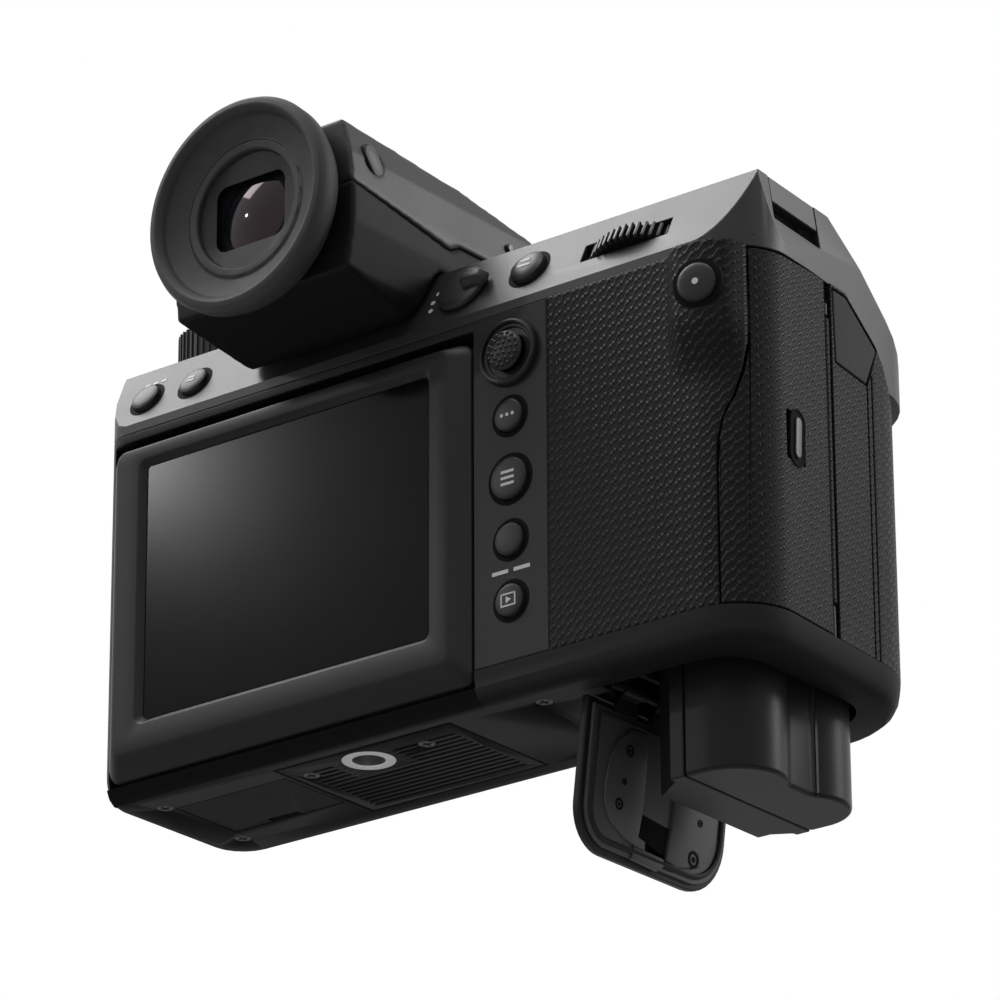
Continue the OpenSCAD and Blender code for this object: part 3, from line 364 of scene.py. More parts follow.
# %% Covering
COLUMN = 1.97
ROW = 1.85
CLIMB = 0.78
covering = Finish("zigzag_covering", (0.006, 0.006, 0.007), 0.5, specular=0.1)
along, up = covering.uv()
across = (along / COLUMN).fract()
climb = across.step(0.22, 0.78) * CLIMB
wave = (up / ROW - climb).fract()
ridge = wave.step(0.0, 0.16) * (1.0 - wave.step(0.32, 0.52))
ends = across.step(0.0, 0.07) * (1.0 - across.step(0.93, 1.0))
emboss = ridge * ends
leather = covering.noise(3000.0, 2.0)
covering.bump(emboss, 0.00024)
covering.bump(leather, 0.00002)
covering.rough(0.56 - emboss * 0.14 + (leather - 0.5) * 0.1)
# The ridges are painted a little lighter: a painted highlight on the zigzag.
covering.paint(emboss * 0.6, (0.018, 0.018, 0.019))
print("covering made")

# %% [markdown]
# Every CAD solid has knife edges, and no moulded or cast piece does. A copy of each solid
# has its triangles joined, its flat faces made whole again, and then a small bevel is run
# round all its sharp edges. The copy stands in for the solid on the same body.

# %% Dressing a solid
SHARP = math.radians(32)
FLAT = math.radians(0.4)
BODIES = frame["record"]["behaviour"]["bodies"]
BODY_OF = {node: body for body, nodes in BODIES.items() for node in nodes}


def joined(node, whole):
    """A bmesh of a CAD node with its loose triangles merged, and its flat faces made whole."""
    mesh = bmesh.new()
    mesh.from_mesh(frame["nodes"][node].data)
    bmesh.ops.remove_doubles(mesh, verts=mesh.verts, dist=2e-6)
    if whole:
        bmesh.ops.dissolve_limit(mesh, angle_limit=FLAT, verts=mesh.verts, edges=mesh.edges,
                                 use_dissolve_boundaries=False)
    return mesh


def piece(mesh, name, body, finish):
    """Turns a bmesh into an object of the part, smooth except at sharp edges."""
    data = bpy.data.meshes.new(name)
    for face in mesh.faces:
        face.smooth = True
    mesh.to_mesh(data)
    mesh.free()
    data.set_sharp_from_angle(angle=SHARP)
    data.materials.append(finish.material)
    made = bpy.data.objects.new(name, data)
    bpy.context.scene.collection.objects.link(made)
    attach(made, body)
    return made


def dress(node, finish, width):
    """Stands a copy of a CAD node in its place, its edges rounded by a width unless that is 0."""
    made = piece(joined(node, width > 0), node + "_dressed", BODY_OF[node], finish)
    if width:
        bevel = made.modifiers.new("soft_edges", "BEVEL")
        bevel.width = width * MM
        bevel.segments = 3
        bevel.limit_method = "ANGLE"
        bevel.angle_limit = SHARP
        bevel.harden_normals = True
        bevel.use_clamp_overlap = False
        bevel.miter_outer = "MITER_ARC"
    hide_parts(node)
    return made


# %% [markdown]
# Each shell gets its finish and the width of its bevel in millimetres. The base plate has
# its rounded rim in the solid already, so it is copied as it is.

# %% Shells
SHELLS = {
    "front_shell": (paint, 0.25), "rear_cover": (paint, 0.3), "top_cover": (top_paint, 0.2),
    "base_plate": (base_paint, 0.0), "contact_lid": (base_paint, 0.2), "strap_lugs": (coated, 0.3),
    "battery_door": (paint, 0.4), "door_liner": (door_plastic_painted_light, 0.15), "battery_box": (moulding, 0.15),
    "battery_shell": (cell, 0.8), "battery_back": (cell, 0.3), "chassis": (alloy, 0.2),
    "lens_mount": (plated, 0.2), "lens_release": (coated, 0.3), "tripod_bush": (steel, 0.2),
    "main_board": (board, 0.1), "shutter_unit": (coated, 0.2), "card_reader": (steel, 0.1),
    "sensor_carriage": (alloy, 0.1), "image_sensor": (sensor_glass, 0.1), "screws": (coated, 0.08),
    "monitor_lower_frame": (coated, 0.15), "monitor_tilt_plate": (coated, 0.15),
    "monitor_glass": (screen, 0.1), "top_display": (screen, 0.1), "front_dial": (coated, 0.12),
    "mode_dial": (coated, 0.12), "mode_lock": (button, 0.3), "stick_gimbal": (shadow_and_black, 0.1),
    "shutter_button": (coated, 0.4), "power_switch": (coated, 0.4), "remote_cover": (rubber, 0.3),
    "port_door": (rubber, 0.3), "eyecup": (cup_rubber, 0.4), "eyepiece_lens": (shadow_and_black, 0.1),
    "finder_shoe": (steel, 0.2), "finder_panel": (board, 0.1), "diopter_dial": (button, 0.3),
    "hot_shoe": (alloy, 0.2),
}
for node, (finish, width) in SHELLS.items():
    dress(node, finish, width)
print("dressed", len(SHELLS), "nodes")

# %% [markdown]
# The finder's two halves are big soft mouldings, with no sharp edge anywhere. A bevel
# trips over their many short edges, so the shape is rebuilt on a fine grid and then
# smoothed: the grid rounds every edge by the same amount.

# %% Finder halves
GRID_STEP = 0.45
EASE_ROUNDS = 7
for node, finish in (("finder_shell", finder_lit), ("finder_base", finder_shaded)):
    half = piece(joined(node, False), node + "_dressed", BODY_OF[node], finish)
    grid = half.modifiers.new("fine_grid", "REMESH")
    grid.mode = "VOXEL"
    grid.voxel_size = GRID_STEP * MM
    grid.use_smooth_shade = True
    ease = half.modifiers.new("eased", "SMOOTH")
    ease.factor = 0.5
    ease.iterations = EASE_ROUNDS
    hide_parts(node)
print("finder rounded")

# %% [markdown]
# Round pieces are drawn as half a section, then spun about their axis. The section is a
# list of radius and height, and the axis is any point and direction of the body.

# %% Spinning a section
def revolved(section, steps):
    """A closed shape of revolution about +Z; the section runs from the axis out and back, in mm."""
    mesh = bmesh.new()
    points = [mesh.verts.new((r, 0, h)) for r, h in section]
    edges = [mesh.edges.new(pair) for pair in zip(points, points[1:])]
    bmesh.ops.spin(mesh, geom=points + edges, cent=(0, 0, 0), axis=(0, 0, 1), angle=2 * math.pi,
                   steps=steps, use_merge=True)
    bmesh.ops.remove_doubles(mesh, verts=mesh.verts, dist=1e-4)
    bmesh.ops.recalc_face_normals(mesh, faces=mesh.faces)
    return mesh


def set_up(mesh, place, axis):
    """Stands a shape made about +Z in millimetres at a place, along an axis."""
    lean = Vector((0, 0, 1)).rotation_difference(Vector(axis)).to_matrix().to_4x4()
    stand = Matrix.Translation(Vector(place) * MM) @ lean @ Matrix.Scale(MM, 4)
    bmesh.ops.transform(mesh, matrix=stand, verts=mesh.verts)


def spun(section, place, axis, steps=56):
    """A shape of revolution that stands at a place, along an axis."""
    mesh = revolved(section, steps)
    set_up(mesh, place, axis)
    return mesh


def round_over(mesh, edges, offset, segments):
    """Rounds some edges of a shape."""
    bmesh.ops.bevel(mesh, geom=edges, offset=offset, offset_type="OFFSET", segments=segments, profile=0.5,
                    affect="EDGES", material=-1)


print("spinning ready")

# %% [markdown]
# Buttons lie on three surfaces: the upright panel, the facet that leans forward above it,
# and the thumb rest on the grip's round corner. Each surface has a direction that it faces.

# %% Surfaces of the back
REAR_Y = -12.4
FACET_LOW = 74.4
FACET_TILT = math.radians(26)
FACET_OUT = (0, -math.cos(FACET_TILT), math.sin(FACET_TILT))
PANEL_OUT = (0, -1, 0)
PANEL_X = 42.3
CORNER = Vector((82.5, -0.9))
CORNER_R = 11.5
THUMB_TURN = math.asin(2.5 / CORNER_R)
THUMB_OUT = (math.sin(THUMB_TURN), -math.cos(THUMB_TURN), 0)
THUMB_AT = (85.0, CORNER.y - CORNER_R * math.cos(THUMB_TURN), 64.6)


def on_facet(x, z):
    """The point of the facet at a width and a height."""
    return (x, REAR_Y + (z - FACET_LOW) * math.tan(FACET_TILT), z)


print("facet faces", [round(v, 3) for v in FACET_OUT])

# %% [markdown]
# A button is a cap with a slight dome and a flange that keeps it in, and it moves in a
# dark ring. Each row gives its place, the way it faces, radius, rise and dome.

# %% Buttons
BUTTONS = {
    "exposure_button": ((PANEL_X, REAR_Y, 52.0), PANEL_OUT, 3.1, 0.8, 0.12),
    "menu_button": ((PANEL_X, REAR_Y, 39.9), PANEL_OUT, 4.0, 0.8, 0.14),
    "display_button": ((PANEL_X, REAR_Y, 28.3), PANEL_OUT, 3.1, 0.8, 0.12),
    "playback_button": ((PANEL_X, REAR_Y, 16.8), PANEL_OUT, 3.1, 0.8, 0.12),
    "focus_on_button": (on_facet(44.4, 81.1), FACET_OUT, 3.6, 1.2, 0.5),
    "drive_button": (on_facet(-46.5, 80.0), FACET_OUT, 3.1, 1.0, 0.3),
    "picture_button": (on_facet(-34.7, 80.2), FACET_OUT, 3.1, 1.0, 0.3),
    "quick_button": (THUMB_AT, THUMB_OUT, 3.7, 3.7, 0.3),
}
THUMB_REST = 3.0
FLANGE = 0.6


def cap_section(radius, rise, dome):
    """Half a button's section: dome, rounded edge, wall and flange."""
    return [(0, rise + dome), (radius * 0.45, rise + dome * 0.85), (radius * 0.75, rise + dome * 0.45),
            (radius - 0.35, rise), (radius - 0.12, rise - 0.12), (radius, rise - 0.4), (radius, -1.6),
            (radius + FLANGE, -2.1), (radius + FLANGE, -2.6), (0, -2.6)]
# A button is a cap with a slight dome and a flange that keeps it in, and it moves in a near-black ring,
# painted shade for the gap round it. Each row gives its place, the way it faces, radius, rise and dome.


def well_section(radius, lift):
    """Half the section of the near-black ring round a button, painted shade for its gap."""
    ring = [(0.1, -0.6), (0.1, 0.03), (0.7, 0.05), (0.95, 0.02), (1.0, -0.1), (1.0, -0.6), (0.1, -0.6)]
    return [(radius + r, h + lift) for r, h in ring]


for node, (place, out, radius, rise, dome) in BUTTONS.items():
    cap = piece(spun(cap_section(radius, rise, dome), place, out), node + "_cap", BODY_OF[node], button)
    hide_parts(node)
    lift = THUMB_REST if node == "quick_button" else 0.0
    well = piece(spun(well_section(radius, lift), place, out), node + "_well", "body", shadow_and_black)
print("caps", len(BUTTONS))

# %% [markdown]
# Plain printed signs tell the buttons apart: bars, dots and a triangle. Each is a thin
# plate that is let into the cap and rides with it.

# %% Printed signs
INK = 0.14


def bar(mesh, x, y, width, height, level):
    """A thin oblong."""
    spot = Matrix.Translation((x, y, level)) @ Matrix.Diagonal((width, height, INK, 1))
    bmesh.ops.create_cube(mesh, size=1.0, matrix=spot)


def dot(mesh, x, y, radius, level, sides=20):
    """A thin disc; three sides make it a triangle that points right."""
    spot = Matrix.Translation((x, y, level)) @ Matrix.Rotation(-math.pi / 2, 4, "Z")
    bmesh.ops.create_cone(mesh, cap_ends=True, segments=sides, radius1=radius, radius2=radius, depth=INK,
                          matrix=spot)


def printed(mesh, name, place, out, body):
    """Stands a sign on a surface, fixed to a body."""
    set_up(mesh, place, out)
    piece(mesh, name, body, mark_white)


FRAME_SIGN = [("bar", 0, y, 3.0, 0.26) for y in (-1.1, 1.1)]
FRAME_SIGN += [("bar", x, 0, 0.26, 2.46) for x in (-1.5, 1.5)]
SIGNS = {
    "exposure_button": [("dot", x, 0, 0.34) for x in (-1.2, 0, 1.2)],
    "menu_button": [("bar", 0, y, 2.9, 0.5) for y in (-1.15, 0, 1.15)],
    "playback_button": FRAME_SIGN + [("triangle", -0.1, 0, 0.75)],
    "focus_on_button": [("bar", 0, 0.75, 2.2, 0.5), ("bar", 0, -0.55, 2.8, 0.5)],
    "picture_button": [("bar", 0, 0.5, 1.8, 0.45), ("bar", 0, -0.35, 1.8, 0.45)],
    "quick_button": [("dot", 0, 0, 0.6)],
}
for node, shapes in SIGNS.items():
    place, out, radius, rise, dome = BUTTONS[node]
    level = rise + dome - 0.02
    sign = bmesh.new()
    for kind, x, y, *sizes in shapes:
        if kind == "bar":
            bar(sign, x, y, *sizes, level)
        else:
            dot(sign, x, y, sizes[0], level, 3 if kind == "triangle" else 20)
    printed(sign, node + "_sign", place, out, BODY_OF[node])
print("signs on buttons", len(SIGNS))

# %% [markdown]
# Three more signs are printed on the body: two bars over the lowest button, a row of bars
# over the left one, and a column of dots that the focus lever points at.

# %% Signs on the body
LEVER_X = 29.3
LEVER_Z = 81.1
panel_bars = bmesh.new()
for x in (-2.4, 2.4):
    bar(panel_bars, x, 0, 3.6, 0.7, 0.0)
printed(panel_bars, "panel_sign", (PANEL_X, REAR_Y, 22.6), PANEL_OUT, "body")
facet_bars = bmesh.new()
for x in (-2.0, 0.0, 2.0):
    bar(facet_bars, x, 0, 1.3, 0.55, 0.0)
printed(facet_bars, "facet_sign", on_facet(-46.0, 83.9), FACET_OUT, "body")
lever_dots = bmesh.new()
for x, z in ((22.9, 82.6), (22.4, 80.6), (22.6, 78.6)):
    dot(lever_dots, x - LEVER_X, (z - LEVER_Z) / math.cos(FACET_TILT), 0.5, 0.0)
printed(lever_dots, "lever_sign", on_facet(LEVER_X, LEVER_Z), FACET_OUT, "body")
print("signs on the body", 3)

# %% [markdown]
# The focus stick is a low dome covered with small dots, so that a thumb doesn't slip. It
# stands in a collar of two steps, whose rounded rims catch the light.

# %% Focus stick
STICK = (PANEL_X, REAR_Y, 64.2)
COLLAR = [(3.6, -2.0), (3.6, 0.1), (4.7, 0.15), (4.8, 0.5), (5.0, 0.6), (5.3, 0.6), (5.4, 0.85),
          (5.55, 1.2), (5.8, 1.32), (6.1, 1.22), (6.3, 0.9), (6.4, 0.4), (6.4, -0.3), (4.3, -0.3),
          (4.3, -2.4), (3.6, -2.0)]
KNOB = [(0, 2.75), (1.4, 2.7), (2.5, 2.52), (3.2, 2.25), (3.65, 1.9), (3.8, 1.55), (3.7, 1.25),
        (2.9, 1.0), (1.6, 0.8), (1.2, 0.3), (1.2, -4.6), (0, -4.6)]
DOT_RINGS = ((1, 0.0, 2.72), (6, 1.15, 2.68), (11, 2.2, 2.54), (16, 3.1, 2.24))


def grip_dots():
    """Rings of small balls on the knob's dome: how many, how far out and how high."""
    mesh = bmesh.new()
    for count, reach, height in DOT_RINGS:
        for step in range(count):
            turn = step * math.tau / count
            spot = Matrix.Translation((reach * math.cos(turn), reach * math.sin(turn), height))
            bmesh.ops.create_icosphere(mesh, subdivisions=1, radius=0.4, matrix=spot)
    set_up(mesh, STICK, PANEL_OUT)
    return mesh


collar = piece(spun(COLLAR, STICK, PANEL_OUT), "stick_collar_ring", "body", button)
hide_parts("stick_collar")
knob = piece(spun(KNOB, STICK, PANEL_OUT), "stick_knob", BODY_OF["focus_stick"], button)
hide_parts("focus_stick")
knob_dots = piece(grip_dots(), "stick_dots", BODY_OF["focus_stick"], button)
print("stick at", STICK)

# %% [markdown]
# The rear dial is a drum on edge, and only its rim comes out through the window in the
# facet. Its rim is cut into narrow teeth, and the drum between them is near black, painted shade in the
# gaps.

# %% Rear dial
DIAL_X = 66.3
DIAL_Z = 80.5
DIAL_SINK = 11
TEETH = 58
DRUM = [(0, 1.9), (9.5, 1.9), (12.3, 1.7), (12.6, 1.3), (12.6, -1.3), (12.3, -1.7), (9.5, -1.9), (0, -1.9)]
DIAL_AXLE = (0, math.sin(FACET_TILT), math.cos(FACET_TILT))
DIAL_AT = Vector(on_facet(DIAL_X, DIAL_Z)) - Vector(FACET_OUT) * DIAL_SINK


def dial_teeth():
    """Rounded blocks all round the drum."""
    mesh = bmesh.new()
    for step in range(TEETH):
        spot = Matrix.Rotation(step * math.tau / TEETH, 4, "Z") @ Matrix.Translation((12.75, 0, 0))
        bmesh.ops.create_cube(mesh, size=1.0, matrix=spot @ Matrix.Diagonal((1.1, 0.72, 3.5, 1)))
    round_over(mesh, list(mesh.edges), 0.22, 2)
    set_up(mesh, DIAL_AT, DIAL_AXLE)
    return mesh


# The drum is near black: painted shade between the teeth.
drum = piece(spun(DRUM, DIAL_AT, DIAL_AXLE, 72), "rear_dial_drum", BODY_OF["rear_dial"], shadow_and_black)
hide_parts("rear_dial")
teeth = piece(dial_teeth(), "rear_dial_teeth", BODY_OF["rear_dial"], coated)
print("dial teeth", TEETH)

# %% [markdown]
# The focus lever is a thick disc with a raised tab at its right, which a thumb pushes
# round. The tab is a block, drawn in towards its top and rounded.

# %% Focus lever
LEVER = on_facet(LEVER_X, LEVER_Z)
DISC = [(0, 1.5), (3.6, 1.5), (4.6, 1.42), (5.0, 1.15), (5.15, 0.7), (5.1, 0.3), (2, 0.2), (2, -3.4),
        (0, -3.4)]
TAB_AT = Vector((3.4, 0.3, 1.9))
TAB_SIZE = (5.4, 3.4, 2.6, 1)


def lever_tab():
    """A block that is narrower at its top."""
    mesh = bmesh.new()
    bmesh.ops.create_cube(mesh, size=1.0, matrix=Matrix.Translation(TAB_AT) @ Matrix.Diagonal(TAB_SIZE))
    for vert in mesh.verts:
        if vert.co.z > TAB_AT.z:
            vert.co.x = TAB_AT.x + (vert.co.x - TAB_AT.x) * 0.8
            vert.co.y *= 0.62
    round_over(mesh, list(mesh.edges), 0.5, 3)
    set_up(mesh, LEVER, FACET_OUT)
    return mesh


lever = piece(spun(DISC, LEVER, FACET_OUT), "focus_lever_disc", BODY_OF["focus_lever"], top_paint)
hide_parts("focus_lever")
tab = piece(lever_tab(), "focus_lever_tab", BODY_OF["focus_lever"], top_paint)
print("lever at", [round(v, 2) for v in LEVER])

# %% [markdown]
# The monitor's bezel is one moulding: a sloping outer edge, a flat face, then a dark
# chamfer down to the glass. Nine rounded rectangles are drawn and bridged in turn, each
# with its left, right, bottom, top, depth and corner radius. The two loops of the flat
# face differ a little in depth, so that the bridge between them stays a ring.

# %% Monitor bezel
def rounded(mesh, x0, x1, z0, z1, y, radius, steps=6):
    """An edge loop in the shape of a rounded rectangle, facing -Y, in mm."""
    points = []
    corners = [(x1 - radius, z1 - radius, 0), (x0 + radius, z1 - radius, 1),
               (x0 + radius, z0 + radius, 2), (x1 - radius, z0 + radius, 3)]
    for cx, cz, quarter in corners:
        for step in range(steps + 1):
            turn = (quarter + step / steps) * math.pi / 2
            points.append(mesh.verts.new((cx + radius * math.cos(turn), y, cz + radius * math.sin(turn))))
    return [mesh.edges.new((a, b)) for a, b in zip(points, points[1:] + points[:1])]


def bridged(mesh, loops):
    """Joins each edge loop to the next with a band of faces."""
    for outer, inner in zip(loops, loops[1:]):
        bmesh.ops.bridge_loops(mesh, edges=outer + inner)


def closed(mesh):
    """Fills the open ends of a shape and turns its faces outwards."""
    bmesh.ops.holes_fill(mesh, edges=[edge for edge in mesh.edges if edge.is_boundary], sides=0)
    bmesh.ops.recalc_face_normals(mesh, faces=mesh.faces)


def in_metres(mesh):
    """Scales a shape drawn in millimetres."""
    bmesh.ops.scale(mesh, vec=(MM, MM, MM), verts=mesh.verts)
    return mesh


FACE_Y = REAR_Y - 2.0
BEZEL_LOOPS = [
    (-52.2, 33.5, 3.2, 69.1, FACE_Y + 6.0, 3.0), (-52.2, 33.5, 3.2, 69.1, FACE_Y + 3.0, 3.0),
    (-51.9, 33.2, 3.6, 68.9, FACE_Y + 2.3, 3.0), (-49.7, 29.8, 7.6, 68.0, FACE_Y + 0.2, 2.2),
    (-49.1, 29.1, 8.3, 67.6, FACE_Y, 2.0), (-44.3, 25.6, 12.7, 65.6, FACE_Y + 0.04, 1.9),
    (-44.0, 25.4, 12.9, 65.3, FACE_Y + 0.12, 1.7), (-42.9, 24.4, 13.8, 64.3, FACE_Y + 1.25, 1.3),
    (-42.9, 24.4, 13.8, 64.3, FACE_Y + 2.4, 1.3),
]
bezel_mesh = bmesh.new()
bridged(bezel_mesh, [rounded(bezel_mesh, *values) for values in BEZEL_LOOPS])
closed(bezel_mesh)
bezel = piece(in_metres(bezel_mesh), "monitor_bezel", "monitor", moulding)
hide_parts("monitor_housing")
print("bezel", len(bezel.data.polygons), "faces")

# %% [markdown]
# Below the monitor the base's rim falls away into a gap in deep shadow. A thin near-black strip,
# painted shadow, follows the rim's section there: a chain of edges, drawn along the camera's width.

# %% Painted shadow below the monitor
SHADOW_LEFT = -52.4
SHADOW_LENGTH = 86.0
RIM_SECTION = [(-12.04, 2.6), (-11.62, 1.6), (-11.27, 0.96), (-10.6, 0.42), (-9.95, -0.06), (-9.2, -0.06)]


def moved_verts(geom):
    """The vertices among what an extrusion made."""
    return [item for item in geom if isinstance(item, bmesh.types.BMVert)]


def painted_shadow_strip():
    """The rim's section drawn out to a thin strip of painted shadow."""
    mesh = bmesh.new()
    points = [mesh.verts.new((SHADOW_LEFT, y, z)) for y, z in RIM_SECTION]
    edges = [mesh.edges.new(pair) for pair in zip(points, points[1:])]
    drawn = bmesh.ops.extrude_edge_only(mesh, edges=edges)["geom"]
    bmesh.ops.translate(mesh, vec=(SHADOW_LENGTH, 0, 0), verts=moved_verts(drawn))
    bmesh.ops.recalc_face_normals(mesh, faces=mesh.faces)
    bmesh.ops.solidify(mesh, geom=list(mesh.faces), thickness=0.04)
    bmesh.ops.recalc_face_normals(mesh, faces=mesh.faces)
    return in_metres(mesh)


shadow_strip = piece(painted_shadow_strip(), "monitor_painted_shadow", "body", shadow_and_black)
print("gap lining", len(shadow_strip.data.polygons), "faces")

# %% [markdown]
# Behind the eyecup's mouth sits a plate with a window of rounded corners, and behind that
# the coated front lens, a shallow dome.

# %% Eyepiece
EYE_Z = 96.5
GLASS_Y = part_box("eyepiece_lens")[0][1] / MM
MOUTH_R = 11.5
DOME = [(0, 1.3), (2, 1.2), (4, 0.85), (6, 0.3), (8, -0.4), (9.5, -1.0), (9.5, -1.2), (0, -1.2)]


def eye_mask():
    """A round plate that slopes in to a rounded window."""
    mesh = bmesh.new()
    window = rounded(mesh, -8.2, 8.2, EYE_Z - 6.6, EYE_Z + 6.6, GLASS_Y - 0.9, 2.4)
    mouth = rounded(mesh, -MOUTH_R, MOUTH_R, EYE_Z - MOUTH_R, EYE_Z + MOUTH_R, GLASS_Y - 1.5, MOUTH_R - 0.1)
    bridged(mesh, [window, mouth])
    bmesh.ops.solidify(mesh, geom=list(mesh.faces), thickness=0.4)
    bmesh.ops.recalc_face_normals(mesh, faces=mesh.faces)
    return in_metres(mesh)


mask = piece(eye_mask(), "eye_mask", "finder", moulding)
front_lens = piece(spun(DOME, (0, GLASS_Y - 0.2, EYE_Z), PANEL_OUT, 64), "eye_lens", "finder", eye_glass)
print("mask at", round(GLASS_Y, 2))

# %% [markdown]
# The covering wraps round the grip, so its zigzag must run along the surface and not
# straight through it. Each corner of a face gets its distance round the outline as one
# coordinate and its height as the other, in millimetres.

# %% Outline of the grip
FRONT = Vector((71.0, 28.4))
FRONT_R = 21.0
SIDE_TURN = math.radians(3.86)
SIDE_START = CORNER.x + CORNER_R * (math.pi / 2 + SIDE_TURN)


def round_grip(point):
    """Distance along the grip's outline from the button panel, in millimetres."""
    x, y = point.x / MM, point.y / MM
    if x < CORNER.x and y < CORNER.y:
        return x
    if y < CORNER.y:
        return CORNER.x + CORNER_R * math.atan2(x - CORNER.x, CORNER.y - y)
    if y < FRONT.y and x > FRONT.x:
        return SIDE_START + y - CORNER.y
    swing = math.atan2(y - FRONT.y, x - FRONT.x)
    return SIDE_START + FRONT.y - CORNER.y + FRONT_R * swing


def wrap(made):
    """Writes the surface map that the covering's pattern reads."""
    layer = made.data.uv_layers.new(name="surface")
    for loop in made.data.loops:
        point = made.data.vertices[loop.vertex_index].co
        layer.data[loop.index].uv = (round_grip(point), point.z / MM)


for node in ("grip_skin_front", "card_door"):
    wrap(dress(node, covering, 0.25))
print("covering wrapped")

# %% [markdown]
# The rear covering swells into a thumb rest. A grid is laid over the grip's outline, its
# right edge follows the card door's curve, and each point is pushed out by a smooth hill.

# %% Rear covering with the thumb rest
SKIN_LEFT = 50.75
SKIN_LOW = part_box("grip_skin_rear")[0][2] / MM
SKIN_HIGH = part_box("grip_skin_rear")[1][2] / MM
CARD_EDGE = [(72.9, 91.2), (54.0, 91.2), (48.8, 90.5), (44.2, 89.3), (40.4, 87.6), (36.0, 86.7),
             (30.0, 86.5), (5.0, 86.5)]


def card_edge_x(z):
    """Width of the card door's rear edge at a height, between points of height and width."""
    for (z1, x1), (z0, x0) in zip(CARD_EDGE, CARD_EDGE[1:]):
        if z >= z0:
            return x0 + (x1 - x0) * min(1.0, (z - z0) / (z1 - z0))
    return CARD_EDGE[-1][1]


def ramp(value, low, high):
    """0 below low, 1 above high, with a soft ramp between."""
    part = min(1.0, max(0.0, (value - low) / (high - low)))
    return part * part * (3 - 2 * part)


def thumb_hill(s, z):
    """Height of the thumb rest over the plain grip, in mm."""
    sideways = ramp(s, 76.5, 81.5) * (1 - 0.8 * ramp(s, 88.0, 93.0))
    return THUMB_REST * sideways * ramp(z, 47.0, 60.0)


def on_grip(s, z):
    """The point at a distance round the grip and a height, out on the thumb rest, in mm."""
    hill = thumb_hill(s, z)
    if s < CORNER.x:
        return Vector((s, REAR_Y - hill, z))
    turn = (s - CORNER.x) / CORNER_R
    reach = CORNER_R + hill
    return Vector((CORNER.x + reach * math.sin(turn), CORNER.y - reach * math.cos(turn), z))


def rear_skin():
    """A grid bent round the grip, with its surface map."""
    mesh = bmesh.new()
    bmesh.ops.create_grid(mesh, x_segments=70, y_segments=100, size=0.5)
    surface = mesh.loops.layers.uv.new("surface")
    spots = {}
    for vert in mesh.verts:
        z = SKIN_LOW + (vert.co.y + 0.5) * (SKIN_HIGH - SKIN_LOW)
        edge = CORNER.x + CORNER_R * math.asin((card_edge_x(z) - CORNER.x) / CORNER_R)
        s = SKIN_LEFT + (vert.co.x + 0.5) * (edge - SKIN_LEFT)
        vert.co = on_grip(s, z) * MM
        spots[vert] = (s, z)
    for face in mesh.faces:
        for corner in face.loops:
            corner[surface].uv = spots[corner.vert]
    bmesh.ops.recalc_face_normals(mesh, faces=mesh.faces)
    if sum(face.normal.y for face in mesh.faces) > 0:
        bmesh.ops.reverse_faces(mesh, faces=mesh.faces)
    return mesh


rear_covering = piece(rear_skin(), "rear_covering", "body", covering)
sheet = rear_covering.modifiers.new("sheet", "SOLIDIFY")
sheet.thickness = 1.1 * MM
sheet.offset = -1
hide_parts("grip_skin_rear")
print("rear covering", len(rear_covering.data.polygons), "faces")

# %% [markdown]
# The view button on the finder's side is an oblong cap, drawn as a stretched circle,
# extruded and rounded. Further forward a small release pin stands out of the same side.

# %% View button and release pin
VIEW_LOW, VIEW_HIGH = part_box("view_button")
VIEW_AT = Vector((VIEW_HIGH[0] - 2.6 * MM, (VIEW_LOW[1] + VIEW_HIGH[1]) / 2,
                  (VIEW_LOW[2] + VIEW_HIGH[2]) / 2))
VIEW_TURN = Matrix.Rotation(math.radians(90), 4, "Y") @ Matrix.Rotation(math.radians(40), 4, "Z")
VIEW_THICK = 3.0
PIN = [(0, 0.9), (0.7, 0.85), (0.95, 0.6), (0.95, -1.0), (0, -1.0)]
PIN_AT = (20.9, 14.7, 100.5)


def view_cap():
    """An oblong with its top edge rounded, set into the finder's side."""
    mesh = bmesh.new()
    bmesh.ops.create_circle(mesh, cap_ends=True, radius=1.9, segments=32)
    for vert in mesh.verts:
        vert.co.x += math.copysign(1.5, vert.co.x) if abs(vert.co.x) > 0.01 else 0.0
    grown = bmesh.ops.extrude_face_region(mesh, geom=list(mesh.faces))["geom"]
    bmesh.ops.translate(mesh, vec=(0, 0, VIEW_THICK), verts=moved_verts(grown))
    bmesh.ops.recalc_face_normals(mesh, faces=mesh.faces)
    top = [edge for edge in mesh.edges if all(v.co.z > VIEW_THICK - 0.1 for v in edge.verts)]
    round_over(mesh, top, 0.35, 3)
    stand = Matrix.Translation(VIEW_AT) @ VIEW_TURN @ Matrix.Scale(MM, 4)
    bmesh.ops.transform(mesh, matrix=stand, verts=mesh.verts)
    return mesh


view_button = piece(view_cap(), "view_button_cap", BODY_OF["view_button"], button)
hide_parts("view_button")
release_pin = piece(spun(PIN, PIN_AT, (1, 0, 0), 24), "finder_release_pin", "finder", coated)
print("view button at", [round(v, 4) for v in VIEW_AT])

# %% [markdown]
# The inside of the battery door carries a sealing bead that follows its outline. It is
# drawn on the shut door, then swung open with it, because the part rests with the door open.

